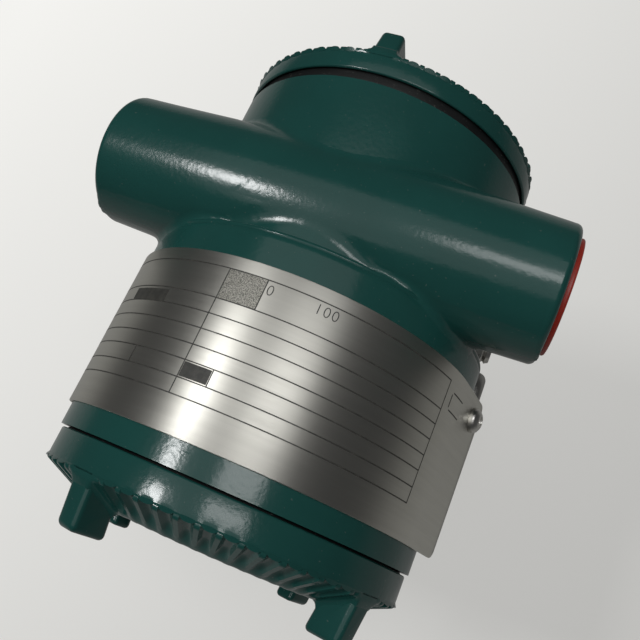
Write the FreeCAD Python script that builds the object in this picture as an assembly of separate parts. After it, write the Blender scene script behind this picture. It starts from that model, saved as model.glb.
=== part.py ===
import FreeCAD, Part
import math
import os

# Differential pressure transmitter: a die-cast amplifier housing with two
# screwed covers and a conduit cross tube, on a stainless pressure detector
# clamped between two process flanges.
# Millimetres. +Z is up, Y runs along the drum, X along the cross tube.
# The origin lies between the two process ports, on the plane of the flange feet.

V = FreeCAD.Vector
X = V(1, 0, 0)
Y = V(0, 1, 0)
Z = V(0, 0, 1)

# Clearances
RUNNING_FIT = 0.1          # radial, between parts that turn in one another
LOOSE_FIT = 0.3            # radial, round the cover spigots and seals
SCREW_FIT = 0.1            # radial, round screw shanks

# Stack-up: flanges on their feet, a gap, then the neck and the drum
FLANGE_HEIGHT = 86.0
FLANGE_TOP_GAP = 12.0
NECK_DROP = 53.0
NECK_BOTTOM_Z = FLANGE_HEIGHT + FLANGE_TOP_GAP
DRUM_AXIS_Z = NECK_BOTTOM_Z + NECK_DROP

# Amplifier housing
FRONT_DRUM_R = 44.9
REAR_DRUM_R = 41.0
FRONT_RIM_Y = -66.4
REAR_RIM_Y = 30.0
DRUM_STEP_Y = -14.0
DRUM_STEP_ROUND = 2.5
FRONT_WALL = 4.4
REAR_WALL = 3.5

# Conduit cross tube
TUBE_LENGTH = 110.0
TUBE_RISE = 25.4
TUBE_END_R = 16.2
TUBE_MID_R = 18.1
TUBE_END_ROUND = 1.6
TUBE_BLEND = 1.0
ENTRY_R = 9.3
ENTRY_DEPTH = 20.0
PASSAGE_R = 7.5
PASSAGE_STOP_X = 10.0

# Wall between the amplifier and terminal chambers
PARTITION_Y = -15.0
PARTITION_T = 4.0
LEDGE_DROP = 2.0
LEDGE_T = 6.0
WINDOW_WIDTH = 34.0
WINDOW_MARGIN = 4.0
TERMINAL_WALL_Y = 14.0
TERMINAL_WALL_T = 3.0

# Neck under the housing
NECK_R = 20.0
STEM_R = 15.0
STEM_LENGTH = 15.0
STEM_TOP_Z = NECK_BOTTOM_Z + STEM_LENGTH
STEM_BORE_RELIEF = 5.0

# Covers: the front one over the amplifier, and a narrower rear one over the terminals
FRONT_COVER_R = 44.25
FRONT_COVER_GAP = 0.5
FRONT_BAND_WIDTH = 6.3
FRONT_LUG_REACH = 17.6
REAR_COVER_R = 41.2
REAR_COVER_GAP = 2.8
REAR_BAND_WIDTH = 4.9
REAR_LUG_REACH = 14.2
COVER_DEPTH = 11.5
COVER_WALL = 3.5
SHOULDER_WIDTH = 9.75
CUP_CORNER = 3.0
SPIGOT_R = 38.0
SPIGOT_WALL = 4.0
SPIGOT_LENGTH = 11.0
LUG_COUNT = 4
LUG_WIDTH = 6.6
LUG_LENGTH = 9.2
LUG_FROM_SIDE = 1.85
LUG_ROOT_FROM_SIDE = 0.3
LUG_ROUND = 1.2
FRONT_LUG_DEG = 27.5
REAR_LUG_DEG = 1.0
FLUTES_PER_QUARTER = 15
FLUTE_PITCH_DEG = 5.6
FLUTE_R = 2.0
FLUTE_DEPTH = 1.3
FLUTE_END_DEPTH = 0.15
FLUTE_FROM_BAND = 0.3
RIB_RISE = 0.6
RIB_START = 0.5

# Cover seals
SEAL_SEAT = 1.2
FRONT_SEAL_WIDTH = 5.0
REAR_SEAL_WIDTH = 2.0

# Name plate
PLATE_T = 0.8
PLATE_FRONT_Y = -61.1
PLATE_REAR_Y = -22.7
PLATE_LIFT_DEG = 20.0
PLATE_TAIL = 16.0
PLATE_CORNER_R = 2.0
PLATE_SCREW_Y = -28.0
PLATE_SCREW_FROM_END = 5.0
PLATE_SCREW_R = 1.5
PLATE_SCREW_LENGTH = 7.0
PLATE_HEAD_R = 3.0
PLATE_HEAD_T = 2.2
PLATE_BOSS_R = 4.5

# Dust plug in the right conduit entry
PLUG_FLANGE_R = 13.5
PLUG_FLANGE_T = 1.2
PLUG_SPIGOT_LENGTH = 9.0
PLUG_WALL = 1.3

# Terminal block
BLOCK_WIDTH = 50.0
BLOCK_HEIGHT = 16.0
BLOCK_DEPTH = 9.0
BLOCK_DROP = 13.0
TERMINAL_COUNT = 5
TERMINAL_PITCH = 9.4
BARRIER_T = 1.4
BARRIER_RISE = 3.0
TERMINAL_SCREW_R = 2.0
TERMINAL_HEAD_R = 3.4
TERMINAL_HEAD_T = 2.4
GROUND_DROP = 28.0

# Amplifier unit in the front chamber
STANDOFF_R = 3.6
STANDOFF_HEIGHT = 6.0
STANDOFF_PCD = 56.0
STANDOFF_COUNT = 3
BOARD_R = 35.0
BOARD_T = 1.6
CASE_R = 32.0
CASE_DEPTH = 20.0
CASE_WALL = 2.0
CASE_EDGE = 1.5
UNIT_SCREW_R = 1.5
UNIT_HEAD_R = 3.0
UNIT_HEAD_T = 2.0
UNIT_SCREW_DEPTH = 5.0

# Cable from the detector to the board
CABLE_WIDTH = 12.0
CABLE_T = 1.2
CABLE_BEND_R = 6.0
CABLE_RISE = 0.7
CONNECTOR_R = 6.0
CONNECTOR_HEIGHT = 4.0
CABLE_PLUG_HEIGHT = 4.0

# Zero adjusting screw and outer ground terminal, on the flanks of the rear drum
FLANK_DEG = 40.0
FLANK_Y = 8.0
FLANK_BOSS_R = 6.5
FLANK_BOSS_RISE = 3.5
ZERO_SHANK_R = 2.5
ZERO_HEAD_R = 4.0
ZERO_HEAD_T = 3.0
ZERO_LENGTH = 5.0
GROUND_SCREW_R = 2.0
GROUND_HEAD_R = 4.0
GROUND_HEAD_T = 3.0
GROUND_LENGTH = 5.0
WASHER_SIZE = 10.0
WASHER_T = 1.5

# Set screws that hold the swivel
SET_SCREW_R = 2.5
SET_SCREW_LENGTH = 4.5
SET_SCREW_RISE = 5.0
SET_SCREW_Z = NECK_BOTTOM_Z + SET_SCREW_RISE
SET_SCREW_SOCKET = 2.5

# Pressure detector
CAPSULE_Z = FLANGE_HEIGHT / 2
CAPSULE_R = 27.5
CAPSULE_WIDTH = 30.0
CAPSULE_EDGE = 1.2
STEM_LOWER_R = 13.0
COLLAR_R = 19.0
COLLAR_T = 4.5
COLLAR_EDGE = 1.0
DIAPHRAGM_R = 19.5
DIAPHRAGM_T = 0.6
DIAPHRAGM_RECESS = 1.2
GASKET_T = 1.0
GASKET_OUTER_R = 25.0
GASKET_INNER_R = 21.0

# Process flanges
PORT_SPACING = 54.0
PORT_R = 5.6
PORT_DEPTH = 13.0
FLANGE_THICKNESS = 20.0
FLANGE_WIDTH = 64.0
FLANGE_TOP_ROUND = 12.0
FLANGE_WAIST = 2.5
FLANGE_EDGE = 1.2
BOSS_REACH = 48.5
BOSS_WIDTH = 24.0
BOSS_END_MARGIN = 7.0
BOSS_FOOT_MARGIN = 10.0
BOSS_ROUND = 3.0
CHANNEL_R = 3.0
CROSS_CHANNEL_R = 2.2
CHAMBER_R = 19.0
CHAMBER_DEPTH = 1.5
PORT_BOLT_SPACING = 41.3
PORT_BOLT_R = 5.0
PORT_BOLT_DEPTH = 11.0

# Flange bolts
BOLT_R = 5.0
BOLT_Y = 21.5
BOLT_Z = 25.0
BOLT_HOLE_FIT = 0.4
HEAD_ACROSS_FLATS = 17.0
HEAD_T = 6.4
NUT_T = 8.0
BOLT_STICKOUT = 3.0

# Vent plugs, vent screws and drain plugs
VENT_RISE = 13.0
DRAIN_DROP = 11.0
PLUG_THREAD_R = 5.5
PLUG_THREAD_DEPTH = 9.0
VENT_HEX = 14.0
VENT_HEX_T = 8.0
VENT_TIP_R = 4.2
VENT_TIP_LENGTH = 5.0
VENT_SCREW_R = 2.5
VENT_SCREW_HEX = 7.0
VENT_SCREW_HEAD_T = 5.0
VENT_SCREW_DEPTH = 14.0
DRAIN_HEX = 12.0
DRAIN_HEX_T = 6.0


# Shared shapes

def rod(radius, start, direction, length):
    return Part.makeCylinder(radius, length, start, direction)


def ring(outer, inner, start, direction, length):
    return rod(outer, start, direction, length).cut(rod(inner, start, direction, length))


def hexagon(across_flats, start, direction, height):
    corner = across_flats / math.sqrt(3.0)
    side = Z if abs(direction.z) < 0.5 else X
    other = direction.cross(side).normalize()
    side = other.cross(direction).normalize()
    points = []
    for k in range(7):
        angle = math.radians(60.0 * k)
        points.append(start + side * (corner * math.cos(angle)) + other * (corner * math.sin(angle)))
    return Part.Face(Part.makePolygon(points)).extrude(direction * height)


def block(x_range, y_range, z_range):
    size = [b - a for a, b in (x_range, y_range, z_range)]
    return Part.makeBox(size[0], size[1], size[2], V(x_range[0], y_range[0], z_range[0]))


def spun(profile):
    """Solid of revolution about the drum axis from (radius, y) points."""
    points = [V(r, y, DRUM_AXIS_Z) for r, y in profile]
    face = Part.Face(Part.makePolygon(points + [points[0]]))
    return face.revolve(V(0, 0, DRUM_AXIS_Z), Y, 360)


def round_edges(solid, radius, wanted):
    edges = [e for e in solid.Edges if wanted(e)]
    return solid.makeFillet(radius, edges)


def is_circle(edge, radius, y):
    if not isinstance(edge.Curve, Part.Circle):
        return False
    same_place = abs(edge.Curve.Center.y - y) < 1e-4
    return same_place and abs(edge.Curve.Radius - radius) < 1e-4


def at_drum(angle_deg, radius, y):
    """Point at a polar angle round the drum axis, measured from +X towards +Z."""
    angle = math.radians(angle_deg)
    return V(radius * math.cos(angle), y, DRUM_AXIS_Z + radius * math.sin(angle))


def outward(angle_deg):
    angle = math.radians(angle_deg)
    return V(math.cos(angle), 0, math.sin(angle))


def turned(solid, angle_deg):
    copy = solid.copy()
    copy.rotate(V(0, 0, DRUM_AXIS_Z), Y, angle_deg)
    return copy


def fused(shapes):
    return shapes[0].multiFuse(shapes[1:]).removeSplitter()


# Amplifier housing

def drum_body():
    body = spun([
        (0, FRONT_RIM_Y),
        (FRONT_DRUM_R, FRONT_RIM_Y),
        (FRONT_DRUM_R, DRUM_STEP_Y),
        (REAR_DRUM_R, DRUM_STEP_Y),
        (REAR_DRUM_R, REAR_RIM_Y),
        (0, REAR_RIM_Y),
    ])
    return round_edges(body, DRUM_STEP_ROUND, lambda e: is_circle(e, FRONT_DRUM_R, DRUM_STEP_Y))


def cross_tube():
    middle = V(0, 0, DRUM_AXIS_Z + TUBE_RISE)
    half = TUBE_LENGTH / 2
    right = Part.makeCone(TUBE_MID_R, TUBE_END_R, half, middle, X)
    left = Part.makeCone(TUBE_MID_R, TUBE_END_R, half, middle, X * -1)
    tube = right.fuse(left)
    return round_edges(tube, TUBE_END_ROUND, lambda e: abs(e.CenterOfMass.x) > half - 0.01)


def housing_casting():
    casting = drum_body().fuse(cross_tube())
    half = TUBE_LENGTH / 2
    seams = [e for e in casting.Edges if is_tube_seam(e, half)]
    casting = casting.makeFillet(TUBE_BLEND, seams)
    reach = DRUM_AXIS_Z - NECK_BOTTOM_Z
    neck = rod(NECK_R, V(0, 0, NECK_BOTTOM_Z), Z, reach - REAR_DRUM_R / 2)
    return casting.fuse(neck)


def is_tube_seam(edge, half):
    """Edges where the cross tube runs into the drum."""
    if isinstance(edge.Curve, (Part.Circle, Part.Line)):
        return False
    box = edge.BoundBox
    inside_ends = box.XMax < half - TUBE_END_ROUND and box.XMin > -half + TUBE_END_ROUND
    return inside_ends


def chambers():
    """Both chambers, the notched wall between them and the conduit passages."""
    centre = V(0, 0, DRUM_AXIS_Z)
    spigot_bore = SPIGOT_R + LOOSE_FIT
    front_depth = PARTITION_Y - PARTITION_T - FRONT_RIM_Y
    front = rod(FRONT_DRUM_R - FRONT_WALL, V(0, FRONT_RIM_Y + SPIGOT_LENGTH + 2, DRUM_AXIS_Z), Y,
                front_depth - SPIGOT_LENGTH - 2)
    front_mouth = rod(spigot_bore, V(0, FRONT_RIM_Y, DRUM_AXIS_Z), Y, SPIGOT_LENGTH + 3)
    rear_r = REAR_DRUM_R - REAR_WALL
    rear = rod(rear_r, V(0, PARTITION_Y, DRUM_AXIS_Z), Y, REAR_RIM_Y - PARTITION_Y)
    rear_mouth = rod(spigot_bore, V(0, REAR_RIM_Y - SPIGOT_LENGTH - 1, DRUM_AXIS_Z), Y, SPIGOT_LENGTH + 1)
    ledge_top = DRUM_AXIS_Z - LEDGE_DROP
    wide = (-FRONT_DRUM_R, FRONT_DRUM_R)
    shelf = block(wide, (PARTITION_Y, TERMINAL_WALL_Y), (DRUM_AXIS_Z - FRONT_DRUM_R, ledge_top))
    rear = rear.cut(shelf)
    pocket_top = ledge_top - LEDGE_T
    pocket = rod(rear_r, V(0, PARTITION_Y, DRUM_AXIS_Z), Y, TERMINAL_WALL_Y - TERMINAL_WALL_T - PARTITION_Y)
    pocket = pocket.common(block(wide, (PARTITION_Y, TERMINAL_WALL_Y), (DRUM_AXIS_Z - FRONT_DRUM_R, pocket_top)))
    half = WINDOW_WIDTH / 2
    window = block((-half, half), (PARTITION_Y - PARTITION_T - 1, PARTITION_Y + 1),
                   (cable_z() - WINDOW_MARGIN, pocket_top))
    posts = [standoff(k) for k in range(STANDOFF_COUNT)]
    front = front.cut(posts[0].multiFuse(posts[1:]))
    return [front, front_mouth, rear, rear_mouth, pocket, window]


def standoff_angle(k):
    return 90.0 + 360.0 / STANDOFF_COUNT * k


def standoff(k):
    foot = at_drum(standoff_angle(k), STANDOFF_PCD / 2, PARTITION_Y - PARTITION_T)
    return rod(STANDOFF_R, foot, Y * -1, STANDOFF_HEIGHT)


def conduit_bores():
    bores = []
    for side in (1, -1):
        mouth = V(side * TUBE_LENGTH / 2, 0, DRUM_AXIS_Z + TUBE_RISE)
        inward = X * -side
        bores.append(rod(ENTRY_R, mouth, inward, ENTRY_DEPTH))
        bores.append(rod(PASSAGE_R, mouth, inward, TUBE_LENGTH / 2 - PASSAGE_STOP_X))
    return bores


def plate_boss(side):
    """Round boss that carries the lifted end of the name plate."""
    direction = plate_normal(side)
    face = plate_screw_seat(side)
    depth = PLATE_BOSS_R + FRONT_WALL
    return rod(PLATE_BOSS_R, face - direction * depth, direction, depth)


def flank_boss(side):
    angle = flank_angle(side)
    start = at_drum(angle, REAR_DRUM_R - REAR_WALL / 2, FLANK_Y)
    return rod(FLANK_BOSS_R, start, outward(angle), REAR_WALL / 2 + FLANK_BOSS_RISE)


def flank_angle(side):
    return -FLANK_DEG if side > 0 else 180.0 + FLANK_DEG


def set_screw_angles():
    return [45.0, 135.0]


def set_screw_bore(angle_deg):
    angle = math.radians(angle_deg)
    direction = V(math.cos(angle), math.sin(angle), 0)
    return rod(SET_SCREW_R + SCREW_FIT, V(0, 0, SET_SCREW_Z) + direction * (STEM_R - 1), direction, NECK_R)


def amplifier_housing():
    solid = housing_casting()
    solid = solid.fuse([plate_boss(1), plate_boss(-1), flank_boss(1), flank_boss(-1)])
    solid = solid.cut(chambers())
    solid = solid.cut(conduit_bores())
    solid = solid.cut(rod(STEM_R + RUNNING_FIT, V(0, 0, NECK_BOTTOM_Z), Z, STEM_LENGTH + STEM_BORE_RELIEF))
    holes = [set_screw_bore(a) for a in set_screw_angles()]
    holes += [plate_screw_bore(1), plate_screw_bore(-1)]
    holes += [flank_bore(1, ZERO_SHANK_R + RUNNING_FIT, ZERO_LENGTH)]
    holes += [zero_counterbore()]
    holes += [flank_bore(-1, GROUND_SCREW_R + SCREW_FIT, GROUND_LENGTH)]
    holes += [unit_screw_bore(k) for k in range(STANDOFF_COUNT)]
    holes += [terminal_screw_bore(k) for k in range(TERMINAL_COUNT)]
    holes += [ground_bore()]
    return solid.cut(holes).removeSplitter()


# Covers: one form in two sizes, built with the rim at y = 0 and the face towards -Y

FRONT_COVER = {
    "radius": FRONT_COVER_R,
    "gap": FRONT_COVER_GAP,
    "band": FRONT_BAND_WIDTH,
    "reach": FRONT_LUG_REACH,
    "seal_width": FRONT_SEAL_WIDTH,
    "first_lug": FRONT_LUG_DEG,
}
REAR_COVER = {
    "radius": REAR_COVER_R,
    "gap": REAR_COVER_GAP,
    "band": REAR_BAND_WIDTH,
    "reach": REAR_LUG_REACH,
    "seal_width": REAR_SEAL_WIDTH,
    "first_lug": -REAR_LUG_DEG,
}


def seal_outer_r(size):
    return SPIGOT_R + LOOSE_FIT + size["seal_width"]


def shoulder(size):
    """Where the ribbed shoulder starts beside the band, and where it meets the face."""
    return (size["radius"] + RIB_RISE, -size["band"] - RIB_START), (size["radius"] - SHOULDER_WIDTH, -COVER_DEPTH)


def cover_profile(size):
    cup_r = SPIGOT_R - SPIGOT_WALL
    floor = COVER_WALL - COVER_DEPTH
    seat_r = seal_outer_r(size) + LOOSE_FIT
    start, end = shoulder(size)
    return [
        (0, -COVER_DEPTH),
        end,
        start,
        (size["radius"], -size["band"]),
        (size["radius"], 0),
        (seat_r, 0),
        (seat_r, -SEAL_SEAT),
        (SPIGOT_R, -SEAL_SEAT),
        (SPIGOT_R, SPIGOT_LENGTH),
        (cup_r, SPIGOT_LENGTH),
        (cup_r, floor + CUP_CORNER),
        (cup_r - CUP_CORNER, floor),
        (0, floor),
    ]


def flute(size):
    """One scallop in the sloping shoulder of a cover, deepest where it starts near the band."""
    start, end = [V(r, y, DRUM_AXIS_Z) for r, y in shoulder(size)]
    slope = end - start
    normal = V(-slope.y, slope.x, 0).normalize()
    top = start + normal * (FLUTE_R - FLUTE_DEPTH)
    bottom = end + normal * (FLUTE_R - FLUTE_END_DEPTH)
    along = (bottom - top).normalize()
    return rod(FLUTE_R, top - along * FLUTE_FROM_BAND, along, slope.Length * 1.5)


def lug(size):
    """Wrench lug, standing out past the cover face, at angle zero, with draft on its outer side."""
    tip_r = size["radius"] - LUG_FROM_SIDE
    root_r = size["radius"] - LUG_ROOT_FROM_SIDE
    inner_r = tip_r - LUG_LENGTH
    root = -size["band"] / 2
    outline = [(inner_r, root), (root_r, root), (tip_r, -size["reach"]), (inner_r, -size["reach"])]
    corners = [V(x, y, DRUM_AXIS_Z - LUG_WIDTH / 2) for x, y in outline]
    solid = Part.Face(Part.makePolygon(corners + corners[:1])).extrude(Z * LUG_WIDTH)
    outer_end = [e for e in solid.Edges if e.CenterOfMass.y < root - 0.01]
    return solid.makeFillet(LUG_ROUND, outer_end)


def cover(size):
    shell = spun(cover_profile(size))
    grooves = []
    lugs = []
    quarter = 360.0 / LUG_COUNT
    for k in range(LUG_COUNT):
        lug_angle = size["first_lug"] + quarter * k
        lugs.append(turned(lug(size), -lug_angle))
        for n in range(FLUTES_PER_QUARTER):
            offset = (n - (FLUTES_PER_QUARTER - 1) / 2) * FLUTE_PITCH_DEG
            grooves.append(turned(flute(size), -(lug_angle + quarter / 2 + offset)))
    shell = shell.cut(grooves)
    return fused([shell] + lugs)


def front_cover():
    solid = cover(FRONT_COVER)
    solid.translate(V(0, FRONT_RIM_Y - FRONT_COVER_GAP, 0))
    return solid


def rear_cover():
    solid = cover(REAR_COVER)
    solid.rotate(V(0, 0, DRUM_AXIS_Z), Z, 180)
    solid.translate(V(0, REAR_RIM_Y + REAR_COVER_GAP, 0))
    return solid


def cover_seal(size, rim_y, direction):
    start = V(0, rim_y, DRUM_AXIS_Z)
    return ring(seal_outer_r(size), SPIGOT_R + LOOSE_FIT, start, Y * direction, size["gap"] + SEAL_SEAT)


# Name plate and its screws

def plate_normal(side):
    angle = PLATE_LIFT_DEG if side > 0 else 180.0 - PLATE_LIFT_DEG
    return outward(angle)


def plate_tail_direction(side):
    normal = plate_normal(side)
    return V(normal.z * side, 0, -abs(normal.x))


def plate_inner_r():
    return FRONT_DRUM_R + SCREW_FIT


def plate_lift_point(side, radius):
    angle = PLATE_LIFT_DEG if side > 0 else 180.0 - PLATE_LIFT_DEG
    return at_drum(angle, radius, 0)


def plate_screw_seat(side):
    tail = plate_tail_direction(side)
    start = plate_lift_point(side, plate_inner_r()) + tail * (PLATE_TAIL - PLATE_SCREW_FROM_END)
    return V(start.x, PLATE_SCREW_Y, start.z)


def name_plate():
    inner = plate_inner_r()
    outer = inner + PLATE_T
    corners = {}
    for side in (1, -1):
        tail = plate_tail_direction(side) * PLATE_TAIL
        for radius in (inner, outer):
            lift = plate_lift_point(side, radius)
            corners[side, radius] = (lift, lift + tail)
    arcs = [Part.Arc(corners[1, r][0], at_drum(90, r, 0), corners[-1, r][0]).toShape() for r in (inner, outer)]
    lines = []
    for side in (1, -1):
        for radius in (inner, outer):
            lines.append(Part.makeLine(corners[side, radius][0], corners[side, radius][1]))
        lines.append(Part.makeLine(corners[side, inner][1], corners[side, outer][1]))
    wire = Part.Wire(Part.__sortEdges__(arcs + lines))
    face = Part.Face(wire)
    face.translate(V(0, PLATE_FRONT_Y, 0))
    sheet = face.extrude(Y * (PLATE_REAR_Y - PLATE_FRONT_Y))
    end_z = min(corners[1, inner][1].z, corners[1, outer][1].z)
    sheet = round_edges(sheet, PLATE_CORNER_R, lambda e: is_plate_corner(e, end_z))
    return sheet.cut([plate_hole(1), plate_hole(-1)])


def is_plate_corner(edge, end_z):
    short = abs(edge.Length - PLATE_T) < 0.01
    return short and edge.CenterOfMass.z < end_z + PLATE_T


def plate_hole(side):
    normal = plate_normal(side)
    return rod(PLATE_SCREW_R + SCREW_FIT, plate_screw_seat(side) - normal, normal, PLATE_T + 2)


def plate_screw_bore(side):
    normal = plate_normal(side)
    return rod(PLATE_SCREW_R + SCREW_FIT, plate_screw_seat(side), normal * -1, PLATE_SCREW_LENGTH)


def plate_screw(side):
    normal = plate_normal(side)
    seat = plate_screw_seat(side) + normal * PLATE_T
    head = rod(PLATE_HEAD_R, seat, normal, PLATE_HEAD_T)
    rim = [e for e in head.Edges if isinstance(e.Curve, Part.Circle)
           and (e.CenterOfMass - seat).dot(normal) > PLATE_HEAD_T / 2]
    head = head.makeFillet(PLATE_HEAD_T * 0.6, rim)
    shank = rod(PLATE_SCREW_R, seat, normal * -1, PLATE_T + PLATE_SCREW_LENGTH - 1)
    return head.fuse(shank)


def plate_screws():
    return Part.makeCompound([plate_screw(1), plate_screw(-1)])


# Dust plug

def conduit_plug():
    mouth = V(TUBE_LENGTH / 2, 0, DRUM_AXIS_Z + TUBE_RISE)
    spigot_r = ENTRY_R - SCREW_FIT
    flange = rod(PLUG_FLANGE_R, mouth, X, PLUG_FLANGE_T)
    cup = ring(spigot_r, spigot_r - PLUG_WALL, mouth, X * -1, PLUG_SPIGOT_LENGTH)
    return flange.fuse(cup)


# Terminal chamber

def terminal_x(k):
    return (k - (TERMINAL_COUNT - 1) / 2) * TERMINAL_PITCH


def block_z():
    return DRUM_AXIS_Z - BLOCK_DROP


def terminal_block():
    half = BLOCK_WIDTH / 2
    z_range = (block_z() - BLOCK_HEIGHT / 2, block_z() + BLOCK_HEIGHT / 2)
    front = TERMINAL_WALL_Y + BLOCK_DEPTH
    body = block((-half, half), (TERMINAL_WALL_Y, front), z_range)
    barriers = []
    for k in range(TERMINAL_COUNT + 1):
        x = (k - TERMINAL_COUNT / 2) * TERMINAL_PITCH
        barriers.append(block((x - BARRIER_T / 2, x + BARRIER_T / 2), (front - 1, front + BARRIER_RISE), z_range))
    body = body.fuse(barriers)
    holes = []
    for k in range(TERMINAL_COUNT):
        start = V(terminal_x(k), TERMINAL_WALL_Y - 1, block_z())
        holes.append(rod(TERMINAL_SCREW_R + SCREW_FIT, start, Y, BLOCK_DEPTH + 2))
    return body.cut(holes).removeSplitter()


def terminal_screw_bore(k):
    start = V(terminal_x(k), TERMINAL_WALL_Y, block_z())
    return rod(TERMINAL_SCREW_R + SCREW_FIT, start, Y * -1, 1.5)


def slotted_screw(seat, direction, head_r, head_t, shank_r, length):
    head = rod(head_r, seat, direction, head_t)
    across = direction.cross(Z) if abs(direction.z) < 0.9 else X
    across = across.normalize()
    deep = direction.cross(across).normalize()
    corner = seat + direction * (head_t * 0.6) - across * (head_r * 1.1) - deep * (head_r * 0.15)
    points = [corner, corner + across * (head_r * 2.2)]
    points += [points[1] + deep * (head_r * 0.3), corner + deep * (head_r * 0.3), corner]
    slot = Part.Face(Part.makePolygon(points)).extrude(direction * head_t)
    return head.cut(slot).fuse(rod(shank_r, seat, direction * -1, length))


def terminal_screws():
    screws = []
    for k in range(TERMINAL_COUNT):
        seat = V(terminal_x(k), TERMINAL_WALL_Y + BLOCK_DEPTH, block_z())
        screws.append(slotted_screw(seat, Y, TERMINAL_HEAD_R, TERMINAL_HEAD_T, TERMINAL_SCREW_R,
                                    BLOCK_DEPTH + 1))
    return Part.makeCompound(screws)


def ground_seat():
    return V(0, TERMINAL_WALL_Y, DRUM_AXIS_Z - GROUND_DROP)


def ground_bore():
    return rod(GROUND_SCREW_R + SCREW_FIT, ground_seat(), Y * -1, TERMINAL_WALL_T)


def inner_ground_screw():
    return slotted_screw(ground_seat(), Y, GROUND_HEAD_R, GROUND_HEAD_T, GROUND_SCREW_R,
                         TERMINAL_WALL_T - 0.5)


# Amplifier unit

def board_rear_y():
    return PARTITION_Y - PARTITION_T - STANDOFF_HEIGHT


def board_front_y():
    return board_rear_y() - BOARD_T


def amplifier_board():
    board = rod(BOARD_R, V(0, board_rear_y(), DRUM_AXIS_Z), Y * -1, BOARD_T)
    holes = []
    for k in range(STANDOFF_COUNT):
        start = at_drum(standoff_angle(k), STANDOFF_PCD / 2, board_rear_y() + 1)
        holes.append(rod(UNIT_SCREW_R + SCREW_FIT, start, Y * -1, BOARD_T + 2))
    return board.cut(holes)


def amplifier_case():
    start = V(0, board_front_y(), DRUM_AXIS_Z)
    case = rod(CASE_R, start, Y * -1, CASE_DEPTH)
    case = case.makeChamfer(CASE_EDGE, [e for e in case.Edges if is_circle(e, CASE_R, board_front_y() - CASE_DEPTH)])
    inside = rod(CASE_R - CASE_WALL, start, Y * -1, CASE_DEPTH - CASE_WALL)
    ears = []
    holes = []
    for k in range(STANDOFF_COUNT):
        foot = at_drum(standoff_angle(k), STANDOFF_PCD / 2, board_front_y())
        ears.append(rod(STANDOFF_R, foot, Y * -1, CASE_DEPTH - CASE_WALL / 2))
        holes.append(rod(UNIT_SCREW_R + SCREW_FIT, foot, Y * -1, CASE_DEPTH + 1))
    return case.cut(inside).fuse(ears).cut(holes).removeSplitter()


def unit_screw_bore(k):
    start = at_drum(standoff_angle(k), STANDOFF_PCD / 2, board_rear_y())
    return rod(UNIT_SCREW_R + SCREW_FIT, start, Y, UNIT_SCREW_DEPTH)


def amplifier_screws():
    screws = []
    for k in range(STANDOFF_COUNT):
        seat = at_drum(standoff_angle(k), STANDOFF_PCD / 2, board_front_y() - CASE_DEPTH)
        length = CASE_DEPTH + BOARD_T + UNIT_SCREW_DEPTH - 1
        screws.append(slotted_screw(seat, Y * -1, UNIT_HEAD_R, UNIT_HEAD_T, UNIT_SCREW_R, length))
    return Part.makeCompound(screws)


def sensor_cable():
    """Flat cable: up from its plug, round a bend and forward to the board."""
    low = cable_plug_top()
    bend_start = V(0, 0, cable_z() - CABLE_BEND_R)
    bend_end = V(0, -CABLE_BEND_R, cable_z())
    spread = CABLE_BEND_R * (1 - math.sqrt(0.5))
    middle = V(0, -spread, cable_z() - spread)
    path = Part.Wire([
        Part.makeLine(V(0, 0, low), bend_start),
        Part.Arc(bend_start, middle, bend_end).toShape(),
        Part.makeLine(bend_end, V(0, board_rear_y(), cable_z())),
    ])
    half = CABLE_WIDTH / 2
    corners = [V(-half, -CABLE_T / 2, low), V(half, -CABLE_T / 2, low)]
    corners += [V(half, CABLE_T / 2, low), V(-half, CABLE_T / 2, low), corners[0]]
    ribbon = path.makePipeShell([Part.makePolygon(corners)], True, False)
    plug = block((-half, half), (-CABLE_T * 2, CABLE_T * 2), (cable_plug_base(), low))
    return ribbon.fuse(plug).removeSplitter()


def cable_plug_base():
    return STEM_TOP_Z + CONNECTOR_HEIGHT + LOOSE_FIT


def cable_plug_top():
    return cable_plug_base() + CABLE_PLUG_HEIGHT


def cable_z():
    return cable_plug_top() + CABLE_RISE + CABLE_BEND_R


def sensor_connector():
    return ring(CONNECTOR_R, CONNECTOR_R / 2, V(0, 0, STEM_TOP_Z), Z, CONNECTOR_HEIGHT)


# Screws on the flanks and in the neck

def flank_seat(side):
    return at_drum(flank_angle(side), REAR_DRUM_R + FLANK_BOSS_RISE, FLANK_Y)


def flank_bore(side, radius, length):
    return rod(radius, flank_seat(side), outward(flank_angle(side)) * -1, length)


def zero_counterbore():
    return rod(ZERO_HEAD_R + LOOSE_FIT, flank_seat(1), outward(flank_angle(1)) * -1, ZERO_HEAD_T / 2)


def zero_screw():
    direction = outward(flank_angle(1))
    seat = flank_seat(1) - direction * (ZERO_HEAD_T / 2)
    return slotted_screw(seat, direction, ZERO_HEAD_R, ZERO_HEAD_T, ZERO_SHANK_R,
                         ZERO_LENGTH - ZERO_HEAD_T / 2 - 0.3)


def outer_ground_terminal():
    direction = outward(flank_angle(-1))
    seat = flank_seat(-1)
    half = WASHER_SIZE / 2
    side = direction.cross(Y).normalize()
    points = [seat + side * half + Y * half, seat - side * half + Y * half]
    points += [seat - side * half - Y * half, seat + side * half - Y * half]
    washer = Part.Face(Part.makePolygon(points + [points[0]])).extrude(direction * WASHER_T)
    top = seat + direction * WASHER_T
    screw = slotted_screw(top, direction, GROUND_HEAD_R, GROUND_HEAD_T, GROUND_SCREW_R,
                          WASHER_T + GROUND_LENGTH - 0.5)
    return washer.fuse(screw)


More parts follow.
